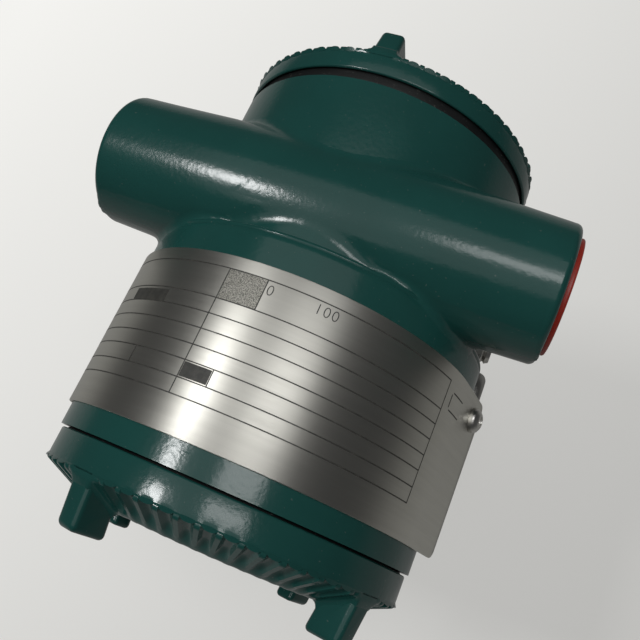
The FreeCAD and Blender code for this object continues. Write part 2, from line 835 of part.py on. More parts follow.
def housing_set_screws():
    screws = []
    for angle_deg in set_screw_angles():
        angle = math.radians(angle_deg)
        direction = V(math.cos(angle), math.sin(angle), 0)
        tip = V(0, 0, SET_SCREW_Z) + direction * (STEM_R + RUNNING_FIT)
        screw = rod(SET_SCREW_R, tip, direction, SET_SCREW_LENGTH)
        socket = hexagon(SET_SCREW_SOCKET, tip + direction * (SET_SCREW_LENGTH - 2), direction, 3)
        screws.append(screw.cut(socket))
    return Part.makeCompound(screws)


# Pressure detector

def capsule_body():
    half = CAPSULE_WIDTH / 2
    disc = rod(CAPSULE_R, V(-half, 0, CAPSULE_Z), X, CAPSULE_WIDTH)
    disc = disc.makeChamfer(CAPSULE_EDGE, [e for e in disc.Edges if isinstance(e.Curve, Part.Circle)])
    lower = rod(STEM_LOWER_R, V(0, 0, CAPSULE_Z), Z, NECK_BOTTOM_Z - COLLAR_T - CAPSULE_Z + 1)
    collar = rod(COLLAR_R, V(0, 0, NECK_BOTTOM_Z - COLLAR_T), Z, COLLAR_T)
    collar = collar.makeChamfer(COLLAR_EDGE, [e for e in collar.Edges if e.CenterOfMass.z < NECK_BOTTOM_Z - 1
                                      and isinstance(e.Curve, Part.Circle)])
    stem = rod(STEM_R, V(0, 0, NECK_BOTTOM_Z - 1), Z, STEM_TOP_Z - NECK_BOTTOM_Z + 1)
    body = fused([disc, lower, collar, stem])
    recesses = []
    for side in (1, -1):
        face = V(side * half, 0, CAPSULE_Z)
        recesses.append(rod(DIAPHRAGM_R + SCREW_FIT, face, X * -side, DIAPHRAGM_RECESS))
    return body.cut(recesses)


def diaphragm(side):
    start = V(side * (CAPSULE_WIDTH / 2 - DIAPHRAGM_RECESS), 0, CAPSULE_Z)
    disc = rod(DIAPHRAGM_R, start, X * side, DIAPHRAGM_T)
    wave = ring(DIAPHRAGM_R * 0.72, DIAPHRAGM_R * 0.6, start + X * (side * DIAPHRAGM_T / 2), X * side,
                DIAPHRAGM_T)
    return disc.cut(wave)


def gasket(side):
    start = V(side * CAPSULE_WIDTH / 2, 0, CAPSULE_Z)
    return ring(GASKET_OUTER_R, GASKET_INNER_R, start, X * side, GASKET_T)


# Process flanges, built for the +X side; the other one is turned round Z

def flange_inner_x():
    return CAPSULE_WIDTH / 2 + GASKET_T


def flange_outer_x():
    return flange_inner_x() + FLANGE_THICKNESS


def waist_z():
    return (FLANGE_HEIGHT - FLANGE_TOP_ROUND) / 2


def waist_r():
    """Radius of the hollow that narrows each flank between the foot and the round shoulder."""
    return (waist_z() ** 2 + FLANGE_WAIST ** 2) / (2 * FLANGE_WAIST)


def waist_centre_y():
    return FLANGE_WIDTH / 2 - FLANGE_WAIST + waist_r()


def flange_plate():
    """Upright plate with a square foot, round shoulders and waisted flanks."""
    x = flange_inner_x()
    half = FLANGE_WIDTH / 2
    plate = block((x, flange_outer_x()), (-half, half), (0, FLANGE_HEIGHT))
    plate = round_edges(plate, FLANGE_TOP_ROUND, is_shoulder)
    plate = plate.makeChamfer(FLANGE_EDGE, [e for e in plate.Edges if is_outer_rim(e)])
    waists = [rod(waist_r(), V(x - 1, side * waist_centre_y(), waist_z()), X, FLANGE_THICKNESS + 2)
              for side in (1, -1)]
    return plate.cut(waists)


def is_shoulder(edge):
    box = edge.BoundBox
    along_x = box.XLength > FLANGE_THICKNESS - 0.01
    return along_x and box.ZMin > FLANGE_HEIGHT - 0.01


def flange_boss():
    """Upright rounded boss over the pressure chamber and the channel."""
    r = BOSS_WIDTH / 2
    x = flange_inner_x() + FLANGE_THICKNESS / 2
    length = BOSS_REACH - x
    low_z = BOSS_FOOT_MARGIN + r
    high_z = FLANGE_HEIGHT - BOSS_END_MARGIN - r
    middle = block((x, x + length), (-r, r), (low_z, high_z))
    ends = [rod(r, V(x, 0, z), X, length) for z in (low_z, high_z)]
    boss = fused([middle] + ends)
    return round_edges(boss, BOSS_ROUND, lambda e: e.BoundBox.XMin > BOSS_REACH - 0.01)


def bolt_places():
    return [(y * BOLT_Y, CAPSULE_Z + z * BOLT_Z) for y in (-1, 1) for z in (-1, 1)]


def flange():
    solid = flange_plate().fuse(flange_boss())
    port = V(PORT_SPACING / 2, 0, 0)
    cuts = [rod(PORT_R, port, Z, PORT_DEPTH)]
    cuts.append(rod(CHANNEL_R, port, Z, vent_z() + CHANNEL_R))
    inner = V(flange_inner_x(), 0, CAPSULE_Z)
    cuts.append(rod(CHAMBER_R, inner, X, CHAMBER_DEPTH))
    cuts.append(rod(CROSS_CHANNEL_R, inner, X, PORT_SPACING / 2 - flange_inner_x()))
    for side in (1, -1):
        cuts.append(rod(PORT_BOLT_R, V(port.x, side * PORT_BOLT_SPACING / 2, 0), Z, PORT_BOLT_DEPTH))
    for y, z in bolt_places():
        cuts.append(rod(BOLT_R + BOLT_HOLE_FIT, V(flange_inner_x(), y, z), X, FLANGE_THICKNESS))
    cuts.append(side_bore(vent_z(), -1))
    cuts.append(side_bore(drain_z(), 1))
    cuts.append(rod(CROSS_CHANNEL_R, V(port.x, 0, vent_z()), Y * -1, FLANGE_WIDTH / 2 - FLANGE_WAIST))
    cuts.append(rod(CROSS_CHANNEL_R, V(port.x, 0, drain_z()), Y, FLANGE_WIDTH / 2 - FLANGE_WAIST))
    return solid.cut(cuts).removeSplitter()


def is_outer_rim(edge):
    box = edge.BoundBox
    return box.XMin > flange_outer_x() - 0.01 and box.ZMax > 0.01


def flange_flank_y(z):
    """Half width of the waisted plate at a height."""
    return waist_centre_y() - math.sqrt(waist_r() ** 2 - (z - waist_z()) ** 2)


def vent_z():
    return CAPSULE_Z + VENT_RISE


def drain_z():
    return CAPSULE_Z - DRAIN_DROP


def plug_seat_y(z):
    """Spot face for a plug, just inside the cast flank."""
    return flange_flank_y(z) - 1.0


def side_bore(z, side):
    seat = plug_seat_y(z)
    x = PORT_SPACING / 2
    spot = rod(VENT_HEX / math.sqrt(3.0) + 0.5, V(x, side * seat, z), Y * side, FLANGE_WAIST + 2)
    thread = rod(PLUG_THREAD_R, V(x, side * seat, z), Y * -side, PLUG_THREAD_DEPTH)
    return spot.fuse(thread)


def mirrored(solid):
    """The low-pressure side, as the mirror image in the plane x = 0."""
    return solid.mirror(V(0, 0, 0), X)


def bolt(y, z):
    start = V(-flange_outer_x(), y, z)
    head = hexagon(HEAD_ACROSS_FLATS, start, X * -1, HEAD_T)
    return head.fuse(rod(BOLT_R, start, X, 2 * flange_outer_x() + NUT_T + BOLT_STICKOUT))


def flange_bolts():
    return Part.makeCompound([bolt(y, z) for y, z in bolt_places()])


def flange_nuts():
    nuts = []
    for y, z in bolt_places():
        start = V(flange_outer_x(), y, z)
        nut = hexagon(HEAD_ACROSS_FLATS, start, X, NUT_T)
        nuts.append(nut.cut(rod(BOLT_R + SCREW_FIT, start, X, NUT_T)))
    return Part.makeCompound(nuts)


# Vent and drain plugs

def vent_seat(side):
    return V(side * PORT_SPACING / 2, -plug_seat_y(vent_z()), vent_z())


def vent_plug(side):
    seat = vent_seat(side)
    out = Y * -1
    body = hexagon(VENT_HEX, seat, out, VENT_HEX_T)
    tip = rod(VENT_TIP_R, seat + out * VENT_HEX_T, out, VENT_TIP_LENGTH)
    thread = rod(PLUG_THREAD_R - SCREW_FIT, seat, Y, PLUG_THREAD_DEPTH - 1)
    solid = fused([body, tip, thread])
    bore_start = seat + out * (VENT_HEX_T + VENT_TIP_LENGTH)
    return solid.cut(rod(VENT_SCREW_R + RUNNING_FIT, bore_start, Y, VENT_SCREW_DEPTH))


def vent_plugs():
    return Part.makeCompound([vent_plug(1), vent_plug(-1)])


def vent_screw(side):
    out = Y * -1
    seat = vent_seat(side) + out * (VENT_HEX_T + VENT_TIP_LENGTH)
    head = hexagon(VENT_SCREW_HEX, seat, out, VENT_SCREW_HEAD_T)
    return head.fuse(rod(VENT_SCREW_R, seat, Y, VENT_SCREW_DEPTH - 0.5))


def drain_plug(side):
    seat = V(side * PORT_SPACING / 2, plug_seat_y(drain_z()), drain_z())
    head = hexagon(DRAIN_HEX, seat, Y, DRAIN_HEX_T)
    return head.fuse(rod(PLUG_THREAD_R - SCREW_FIT, seat, Y * -1, PLUG_THREAD_DEPTH - 1))


def drain_plugs():
    return Part.makeCompound([drain_plug(1), drain_plug(-1)])


def build():
    high_flange = flange()
    return {
        "amplifier_housing": amplifier_housing(),
        "front_cover": front_cover(),
        "rear_cover": rear_cover(),
        "front_cover_seal": cover_seal(FRONT_COVER, FRONT_RIM_Y, -1),
        "rear_cover_seal": cover_seal(REAR_COVER, REAR_RIM_Y, 1),
        "name_plate": name_plate(),
        "plate_screws": plate_screws(),
        "conduit_plug": conduit_plug(),
        "terminal_block": terminal_block(),
        "terminal_screws": terminal_screws(),
        "inner_ground_screw": inner_ground_screw(),
        "amplifier_board": amplifier_board(),
        "amplifier_case": amplifier_case(),
        "amplifier_screws": amplifier_screws(),
        "sensor_cable": sensor_cable(),
        "sensor_connector": sensor_connector(),
        "zero_screw": zero_screw(),
        "outer_ground_terminal": outer_ground_terminal(),
        "housing_set_screws": housing_set_screws(),
        "capsule_body": capsule_body(),
        "diaphragm_high": diaphragm(1),
        "diaphragm_low": diaphragm(-1),
        "gasket_high": gasket(1),
        "gasket_low": gasket(-1),
        "flange_high": high_flange,
        "flange_low": mirrored(high_flange),
        "flange_bolts": flange_bolts(),
        "flange_nuts": flange_nuts(),
        "vent_plugs": vent_plugs(),
        "vent_screw_high": vent_screw(1),
        "vent_screw_low": vent_screw(-1),
        "drain_plugs": drain_plugs(),
    }


def main():
    os.makedirs("parts", exist_ok=True)
    for name, shape in build().items():
        solids = shape.Solids
        print(name, len(solids), "solids", round(shape.Volume, 1), "mm3", shape.isValid())
        shape.exportStep(os.path.join("parts", name + ".step"))


main()
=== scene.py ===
import math

import bpy
from mathutils import Matrix, Vector


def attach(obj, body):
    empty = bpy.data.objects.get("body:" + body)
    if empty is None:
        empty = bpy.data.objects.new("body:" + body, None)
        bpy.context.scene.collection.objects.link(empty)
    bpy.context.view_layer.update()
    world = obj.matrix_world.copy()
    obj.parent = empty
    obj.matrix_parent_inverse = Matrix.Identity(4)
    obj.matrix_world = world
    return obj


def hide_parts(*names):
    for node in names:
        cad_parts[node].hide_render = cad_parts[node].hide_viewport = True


bl_info = {
    "name": "Differential pressure transmitter",
    "version": (1, 0, 0),
    "blender": (4, 5, 0),
    "location": "View3D > Sidebar > Transmitter",
    "description": "Dresses the packed model of a differential pressure transmitter",
    "category": "Object",
}

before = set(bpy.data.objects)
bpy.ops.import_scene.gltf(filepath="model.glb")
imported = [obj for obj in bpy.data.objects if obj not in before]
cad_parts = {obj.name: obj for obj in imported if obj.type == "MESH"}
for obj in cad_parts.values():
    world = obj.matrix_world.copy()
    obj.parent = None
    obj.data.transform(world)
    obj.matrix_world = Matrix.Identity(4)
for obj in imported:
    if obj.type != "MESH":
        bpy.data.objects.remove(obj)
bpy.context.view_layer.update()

MM = 0.001
ALONG_X = Vector((1.0, 0.0, 0.0))
DRUM_Y = Vector((0.0, 1.0, 0.0))
UP = Vector((0.0, 0.0, 1.0))
DRUM_CENTRE = Vector((0.0, 0.0, 0.151))

# Places taken over from the solids, in millimetres
FRONT_RIM_Y = -66.4
REAR_RIM_Y = 30.0
COVER_DEPTH = 11.5
SHOULDER_WIDTH = 9.75
SPIGOT_R = 38.0
SPIGOT_LENGTH = 11.0
CUP_R = 34.0
CUP_FLOOR = -8.0
CUP_CORNER = 3.0
SEAL_INNER_R = 38.25
SEAL_SEAT = 1.2
LUG_LENGTH = 9.2
LUG_FROM_SIDE = 1.85
LUG_ROOT_FROM_SIDE = 0.3
LUG_WIDTH = 6.6
FRONT_LUG_DEG = 27.5
REAR_LUG_DEG = 1.0
FLUTE_PITCH_DEG = 5.625
RIB_RISE = 0.5
RIB_SHARE = 0.26
FRONT_COVER = {"radius": 44.25, "gap": 0.5, "band": 6.3, "reach": 17.6, "seal_r": 43.2}
REAR_COVER = {"radius": 41.2, "gap": 2.8, "band": 4.9, "reach": 14.2, "seal_r": 40.2}
COVERS = (("front", FRONT_COVER, FRONT_RIM_Y, -1.0), ("rear", REAR_COVER, REAR_RIM_Y, 1.0))
PLATE_R = 45.8
PLATE_T = 0.8
PLATE_FRONT_Y = -61.1
PLATE_REAR_Y = -22.7
PLATE_LIFT_DEG = 20.0
PLATE_TAIL = 16.0
PLATE_CORNER_R = 2.0
PLATE_SCREW_Y = -28.0
PLATE_SCREW_FROM_END = 5.0
PLATE_HEAD_R = 3.0
PLATE_HEAD_T = 2.2
FLANGE_OUTER_X = 36.0
CAPSULE_Z = 43.0
BOLT_Y = 21.5
BOLT_Z = 25.0
BOLT_R = 5.0
BOLT_HEX = 17.0
BOLT_HEAD_T = 6.4
NUT_T = 8.0
BOLT_STICKOUT = 3.0
PLUG_X = 27.0
VENT_SEAT = Vector((0.0, -29.16, 56.0))
DRAIN_SEAT = Vector((0.0, 28.55, 32.0))
TUBE_END_X = 55.0
TUBE_AXIS_Z = 176.4
PLUG_R = 13.5
PLUG_T = 1.2
PLUG_SPIGOT_R = 9.2


# Settings that a user may change

class PaintSettings(bpy.types.PropertyGroup):
    paint: bpy.props.FloatVectorProperty(
        name="Paint", description="Colour of the enamel on the castings", subtype="COLOR",
        size=4, min=0.0, max=1.0, default=(0.0120, 0.0700, 0.0610, 1.0))
    paint_roughness: bpy.props.FloatProperty(
        name="Paint roughness", description="How dull the enamel is", subtype="FACTOR",
        min=0.0, max=1.0, default=0.17)
    plate: bpy.props.FloatVectorProperty(
        name="Plate", description="Colour of the brushed plate", subtype="COLOR",
        size=4, min=0.0, max=1.0, default=(0.63, 0.62, 0.57, 1.0))
    plug: bpy.props.FloatVectorProperty(
        name="Plug", description="Colour of the dust plug", subtype="COLOR",
        size=4, min=0.0, max=1.0, default=(0.46, 0.035, 0.020, 1.0))


class CoverSettings(bpy.types.PropertyGroup):
    flute_depth: bpy.props.FloatProperty(
        name="Flute depth", description="Depth of the scallops round a cover",
        subtype="DISTANCE", unit="LENGTH", min=0.0, max=0.003, default=0.0013)
    lug_round: bpy.props.FloatProperty(
        name="Lug round", description="Rounding of the wrench lugs",
        subtype="DISTANCE", unit="LENGTH", min=0.0002, max=0.003, default=0.0013)
    steps: bpy.props.IntProperty(
        name="Steps", description="Steps round a quarter of a cover", min=24, max=240, default=128)


class StageSettings(bpy.types.PropertyGroup):
    floor: bpy.props.FloatVectorProperty(
        name="Floor", description="Colour of the floor", subtype="COLOR",
        size=4, min=0.0, max=1.0, default=(0.40, 0.397, 0.383, 1.0))
    # The floor's glow also carries the painted falloff of light and shade across the floor.
    floor_glow: bpy.props.FloatProperty(
        name="Floor paleness", description="How much paler the floor is seen than it lights the object",
        min=0.0, max=1.0, default=0.50)
    room: bpy.props.FloatProperty(
        name="Room light", description="Even light from all round", min=0.0, max=2.0, default=0.05)
    window_power: bpy.props.FloatProperty(
        name="Window lamp", description="Narrow lamp that draws the bright streak",
        subtype="POWER", unit="POWER", min=0.0, max=100.0, default=3.6)
    ceiling_power: bpy.props.FloatProperty(
        name="Ceiling lamp", description="Broad lamp over the front of the drum",
        subtype="POWER", unit="POWER", min=0.0, max=100.0, default=1.7)
    overhead_power: bpy.props.FloatProperty(
        name="Overhead lamp", description="Large soft lamp overhead",
        subtype="POWER", unit="POWER", min=0.0, max=100.0, default=8.0)


# Small tools for modelling with operators

def deselect():
    if bpy.context.mode != "OBJECT":
        bpy.ops.object.mode_set(mode="OBJECT")
    bpy.ops.object.select_all(action="DESELECT")


def pick(piece):
    deselect()
    piece.select_set(True)
    bpy.context.view_layer.objects.active = piece


def edit_all(piece=None):
    """Enters edit mode with all of the piece selected, or all of the one just made."""
    if piece:
        pick(piece)
    bpy.ops.object.mode_set(mode="EDIT")
    bpy.ops.mesh.select_all(action="SELECT")


def leave_edit():
    bpy.ops.object.mode_set(mode="OBJECT")


def settle():
    """Applies the place, turn and size of what is selected."""
    bpy.ops.object.transform_apply(location=True, rotation=True, scale=True)


def copied(piece, matrix):
    """A copy with its own mesh, moved by the matrix."""
    copy = piece.copy()
    copy.data = piece.data.copy()
    bpy.context.collection.objects.link(copy)
    copy.data.transform(matrix)
    return copy


def named(piece, name):
    piece.name = name
    piece.data.name = name
    return piece


def point(place):
    """A new mesh of one vertex, left in edit mode."""
    deselect()
    bpy.ops.mesh.primitive_plane_add(size=MM, location=place)
    edit_all()
    bpy.ops.mesh.merge(type="CENTER")
    return bpy.context.object


def draw(points):
    """Extrudes the selected vertex along the points, the first of which is where it is."""
    for a, b in zip(points, points[1:]):
        bpy.ops.mesh.extrude_region_move(TRANSFORM_OT_translate={"value": b - a})


def tidy(piece, angle_deg=40.0, distance=1e-6):
    """Merges doubles, points the faces outwards, settles the place and shades."""
    edit_all(piece)
    bpy.ops.mesh.remove_doubles(threshold=distance)
    bpy.ops.mesh.normals_make_consistent(inside=False)
    leave_edit()
    settle()
    bpy.ops.object.shade_smooth_by_angle(angle=math.radians(angle_deg))
    return piece


def choose(piece, wanted):
    """Enters edit mode with just the wanted vertices selected, told by their place."""
    pick(piece)
    bpy.ops.object.mode_set(mode="EDIT")
    bpy.ops.mesh.select_mode(type="VERT")
    bpy.ops.mesh.select_all(action="DESELECT")
    leave_edit()
    for v in piece.data.vertices:
        v.select = wanted(v.co)
    bpy.ops.object.mode_set(mode="EDIT")


def apply(piece, kind, **values):
    """Adds a modifier with these values and applies it."""
    pick(piece)
    modifier = piece.modifiers.new(kind.lower(), kind)
    for key, value in values.items():
        setattr(modifier, key, value)
    bpy.ops.object.modifier_apply(modifier=modifier.name)


def grouped(piece, name, weight_of):
    """A vertex group whose weights come from the place of each vertex."""
    group = piece.vertex_groups.new(name=name)
    for v in piece.data.vertices:
        weight = weight_of(v.co)
        if weight > 0.0:
            group.add([v.index], min(1.0, weight), "REPLACE")


def smooth_step(value):
    value = min(1.0, max(0.0, value))
    return value * value * (3.0 - 2.0 * value)


def eased(corners, most=6):
    """A profile of (radius, along, round) corners, with each corner rounded off."""
    line = []
    for k, (r, y, ease) in enumerate(corners):
        here = Vector((r, y))
        steps = most if ease > 0.6 else 3 if ease > 0.25 else 2
        if ease <= 0.0 or k in (0, len(corners) - 1):
            line.append(here)
            continue
        before = (Vector(corners[k - 1][:2]) - here).normalized()
        after = (Vector(corners[k + 1][:2]) - here).normalized()
        half = before.angle(after) / 2
        back = ease / math.tan(half)
        start = here + before * back
        centre = here + (before + after).normalized() * (ease / math.sin(half))
        first = start - centre
        turn = first.angle_signed(here + after * back - centre)
        for n in range(steps + 1):
            swing = Matrix.Rotation(-turn * n / steps, 2)
            line.append(centre + swing @ first)
    return line


def turned_piece(name, profile, steps, centre, axis, radial, angle=math.tau):
    """Spins a (radius, along) profile in millimetres round an axis, once unless told less."""
    places = [centre + radial * (r * MM) + axis * (y * MM) for r, y in profile]
    piece = point(places[0])
    draw(places)
    bpy.ops.mesh.select_all(action="SELECT")
    bpy.ops.mesh.spin(steps=steps, angle=angle, center=centre, axis=axis)
    leave_edit()
    return named(tidy(piece), name)


def joined(pieces):
    deselect()
    for piece in pieces:
        piece.select_set(True)
    bpy.context.view_layer.objects.active = pieces[0]
    bpy.ops.object.join()
    return pieces[0]


def united(piece, others):
    for other in others:
        apply(piece, "BOOLEAN", operation="UNION", solver="EXACT", object=other)
        bpy.data.objects.remove(other)
    return piece


def polar(angle_deg, radius, y):
    """A point at an angle round the drum from +X towards +Z, in millimetres."""
    a = math.radians(angle_deg)
    return DRUM_CENTRE + Vector((radius * math.cos(a), y, radius * math.sin(a))) * MM


# Shared shader effects

def new_group(name, inputs, outputs):
    tree = bpy.data.node_groups.new(name, "ShaderNodeTree")
    for label, value in inputs:
        socket = tree.interface.new_socket(label, in_out="INPUT", socket_type="NodeSocketFloat")
        socket.default_value = value
    for label in outputs:
        tree.interface.new_socket(label, in_out="OUTPUT", socket_type="NodeSocketFloat")
    return tree, tree.nodes.new("NodeGroupInput").outputs, tree.nodes.new("NodeGroupOutput")


def put(tree, socket, value):
    """Links a source to a socket, or sets a plain value on it."""
    if hasattr(value, "links"):
        tree.links.new(value, socket)
    else:
        socket.default_value = value


def feed(tree, node, **values):
    """Puts sources and values on a node's sockets, named with _ for a space."""
    for label, value in values.items():
        put(tree, node.inputs[label.replace("_", " ")], value)
    return node


def object_place(tree):
    return tree.nodes.new("ShaderNodeTexCoord").outputs["Object"]


def noise(tree, vector, scale, detail=2.0, rough=0.5):
    node = tree.nodes.new("ShaderNodeTexNoise")
    return feed(tree, node, Vector=vector, Scale=scale, Detail=detail, Roughness=rough).outputs["Fac"]


def math_node(tree, operation, a, b):
    node = tree.nodes.new("ShaderNodeMath")
    node.operation = operation
    put(tree, node.inputs[0], a)
    put(tree, node.inputs[1], b)
    return node.outputs[0]


def ranged(tree, value, from_low, from_high, to_low, to_high):
    node = tree.nodes.new("ShaderNodeMapRange")
    feed(tree, node, Value=value, From_Min=from_low, From_Max=from_high, To_Min=to_low, To_Max=to_high)
    return node.outputs["Result"]


def blended(tree, factor, a, b):
    node = tree.nodes.new("ShaderNodeMix")
    node.data_type = "RGBA"
    for index, value in ((0, factor), (6, a), (7, b)):
        put(tree, node.inputs[index], value)
    return node.outputs[2]


def mapped(tree, vector, **values):
    node = tree.nodes.new("ShaderNodeMapping")
    return feed(tree, node, Vector=vector, **values).outputs[0]


def cast_skin():
    """Height of an enamelled casting: broad waves, orange peel and a few grains."""
    tree, source, sink = new_group(
        "cast skin", [("Waves", 0.3), ("Peel", 0.3), ("Grains", 0.2)], ["Height", "Grain Mask"])
    place = object_place(tree)
    spots = ranged(tree, noise(tree, place, 420.0), 0.70, 0.78, 0.0, 1.0)
    height = math_node(tree, "MULTIPLY", noise(tree, place, 70.0, 1.0), source["Waves"])
    peel = math_node(tree, "MULTIPLY", noise(tree, place, 900.0, 2.0, 0.45), source["Peel"])
    height = math_node(tree, "ADD", height, peel)
    height = math_node(tree, "ADD", height, math_node(tree, "MULTIPLY", spots, source["Grains"]))
    feed(tree, sink, Height=height, Grain_Mask=spots)
    return tree


def handling_marks():
    """Where a surface has been handled: soft smears, and fine specks of dust."""
    tree, source, sink = new_group(
        "handling marks", [("Smear Size", 40.0), ("Speck Share", 0.06)], ["Smears", "Specks"])
    place = object_place(tree)
    smears = noise(tree, place, source["Smear Size"], 4.0, 0.6)
    edge = math_node(tree, "SUBTRACT", 0.80, source["Speck Share"])
    specks = math_node(tree, "GREATER_THAN", noise(tree, place, 1600.0, 1.0, 0.4), edge)
    feed(tree, sink, Smears=ranged(tree, smears, 0.42, 0.70, 0.0, 1.0), Specks=specks)
    return tree


def drawn_grain():
    """Long fine lines along one direction, as brushing or turning leaves."""
    tree, source, sink = new_group(
        "drawn grain", [("X", 1.0), ("Y", 1.0), ("Z", 1.0), ("Fineness", 1.0)], ["Height", "Bands"])
    size = tree.nodes.new("ShaderNodeCombineXYZ")
    feed(tree, size, X=source["X"], Y=source["Y"], Z=source["Z"])
    node = tree.nodes.new("ShaderNodeVectorMath")
    node.operation = "MULTIPLY"
    put(tree, node.inputs[0], object_place(tree))
    put(tree, node.inputs[1], size.outputs[0])
    stretched = node.outputs[0]
    lines = noise(tree, stretched, source["Fineness"], 3.0, 0.7)
    feed(tree, sink, Height=lines, Bands=noise(tree, stretched, 0.12))
    return tree


GROUPS = {}


def group_in(tree, name, **values):
    """Places a shared effect in a material, with its own values."""
    if not GROUPS:
        GROUPS.update(cast_skin=cast_skin(), handling_marks=handling_marks(), drawn_grain=drawn_grain())
    node = tree.nodes.new("ShaderNodeGroup")
    node.node_tree = GROUPS[name]
    return feed(tree, node, **values).outputs


def new_material(name, metallic=0.0):
    material = bpy.data.materials.new(name)
    material.use_nodes = True
    tree = material.node_tree
    return material, tree, feed(tree, tree.nodes["Principled BSDF"], Metallic=metallic)


def bumped(tree, shader, height, distance):
    bump = feed(tree, tree.nodes.new("ShaderNodeBump"), Distance=distance, Strength=1.0, Height=height)
    feed(tree, shader, Normal=bump.outputs["Normal"])


def shade(colour, factor):
    return tuple(c * factor for c in colour[:3]) + (1.0,)


def enamel():
    """Dark green baked enamel over a die casting."""
    settings = bpy.context.scene.transmitter_paint
    colour = tuple(settings.paint)
    low = settings.paint_roughness
    material, tree, shader = new_material("green enamel")
    skin = group_in(tree, "cast_skin", Waves=0.15, Peel=0.13, Grains=0.06)
    marks = group_in(tree, "handling_marks", Smear_Size=32.0, Speck_Share=0.03)
    toned = blended(tree, marks["Smears"], shade(colour, 0.93), shade(colour, 1.07))
    dust = math_node(tree, "MULTIPLY", marks["Specks"], 0.25)
    feed(tree, shader, Base_Color=blended(tree, dust, toned, (0.22, 0.23, 0.21, 1.0)),
         Roughness=ranged(tree, marks["Smears"], 0.0, 1.0, low, low + 0.02), Specular_IOR_Level=0.42)
    bumped(tree, shader, skin["Height"], 0.00022)
    return material


def brushed_plate():
    """Stainless sheet, brushed along its length, round the drum."""
    colour = tuple(bpy.context.scene.transmitter_paint.plate)
    material, tree, shader = new_material("brushed plate", metallic=1.0)
    uv = tree.nodes.new("ShaderNodeUVMap")
    uv.uv_map = "plate"
    lines = noise(tree, mapped(tree, uv.outputs[0], Scale=(14.0, 1500.0, 1.0)), 4.0, 4.0, 0.7)
    bands = noise(tree, mapped(tree, uv.outputs[0], Scale=(9.0, 260.0, 1.0)), 3.0, 3.0, 0.6)
    along = tree.nodes.new("ShaderNodeTangent")
    along.direction_type = "UV_MAP"
    along.uv_map = "plate"
    feed(tree, shader, Base_Color=blended(tree, bands, shade(colour, 0.90), shade(colour, 1.08)),
         Roughness=ranged(tree, lines, 0.3, 0.7, 0.40, 0.50),
         Anisotropic=0.75, Anisotropic_Rotation=0.25, Tangent=along.outputs[0])
    bumped(tree, shader, lines, 0.000006)
    return material


def etched():
    """The dull dark surface of the etched lines."""
    material, tree, shader = new_material("etched lines")
    marks = group_in(tree, "handling_marks", Smear_Size=600.0, Speck_Share=0.12)
    tone = blended(tree, marks["Smears"], (0.030, 0.030, 0.026, 1.0), (0.060, 0.058, 0.050, 1.0))
    feed(tree, shader, Base_Color=tone, Roughness=0.55)
    return material


def etched_speckle():
    """A field of the plate dulled by a fine etched stipple."""
    material, tree, shader = new_material("etched field", metallic=0.7)
    dots = noise(tree, object_place(tree), 5200.0, 1.0)
    mask = ranged(tree, dots, 0.40, 0.60, 0.0, 1.0)
    tone = blended(tree, mask, (0.12, 0.12, 0.105, 1.0), (0.40, 0.39, 0.35, 1.0))
    feed(tree, shader, Base_Color=tone, Roughness=0.5)
    bumped(tree, shader, dots, 0.00004)
    return material


def rubber():
    material, tree, shader = new_material("black rubber")
    marks = group_in(tree, "handling_marks", Smear_Size=90.0, Speck_Share=0.08)
    tone = blended(tree, marks["Smears"], (0.004, 0.005, 0.005, 1.0), (0.010, 0.011, 0.011, 1.0))
    dust = math_node(tree, "MULTIPLY", marks["Specks"], 0.4)
    feed(tree, shader, Base_Color=blended(tree, dust, tone, (0.12, 0.12, 0.11, 1.0)),
         Roughness=0.48, Specular_IOR_Level=0.35)
    bumped(tree, shader, noise(tree, object_place(tree), 1400.0, 3.0, 0.6), 0.00004)
    return material


def moulded(name, colour, roughness, grain=1200.0, depth=0.00003):
    """Injection-moulded plastic with a fine die texture."""
    material, tree, shader = new_material(name)
    marks = group_in(tree, "handling_marks", Smear_Size=60.0, Speck_Share=0.04)
    feed(tree, shader, Base_Color=blended(tree, marks["Smears"], shade(colour, 0.90), shade(colour, 1.10)),
         Roughness=ranged(tree, marks["Smears"], 0.0, 1.0, roughness, roughness + 0.10))
    bumped(tree, shader, noise(tree, object_place(tree), grain, 3.0, 0.6), depth)
    return material


def turned_steel(name, stretch, colour=(0.60, 0.59, 0.56), roughness=0.24):
    """Machined metal, with tool marks across the given stretch of the axes."""
    material, tree, shader = new_material(name, metallic=1.0)
    grain = group_in(tree, "drawn_grain", X=stretch[0], Y=stretch[1], Z=stretch[2], Fineness=1.0)
    marks = group_in(tree, "handling_marks", Smear_Size=80.0, Speck_Share=0.03)
    feed(tree, shader, Base_Color=blended(tree, marks["Smears"], shade(colour, 0.88), shade(colour, 1.08)),
         Roughness=ranged(tree, grain["Bands"], 0.3, 0.7, roughness, roughness + 0.14))
    bumped(tree, shader, grain["Height"], 0.00003)
    return material


def cast_steel():
    """Investment-cast stainless, pickled to a dull grey, with a fine sandy skin."""
    material, tree, shader = new_material("cast stainless", metallic=1.0)
    skin = group_in(tree, "cast_skin", Waves=0.7, Peel=0.5, Grains=0.5)
    marks = group_in(tree, "handling_marks", Smear_Size=45.0, Speck_Share=0.05)
    tone = blended(tree, marks["Smears"], (0.36, 0.355, 0.34, 1.0), (0.47, 0.46, 0.44, 1.0))
    pits = math_node(tree, "MULTIPLY", skin["Grain Mask"], 0.5)
    feed(tree, shader, Base_Color=blended(tree, pits, tone, (0.20, 0.20, 0.19, 1.0)),
         Roughness=ranged(tree, marks["Smears"], 0.0, 1.0, 0.42, 0.56))
    bumped(tree, shader, skin["Height"], 0.00018)
    return material


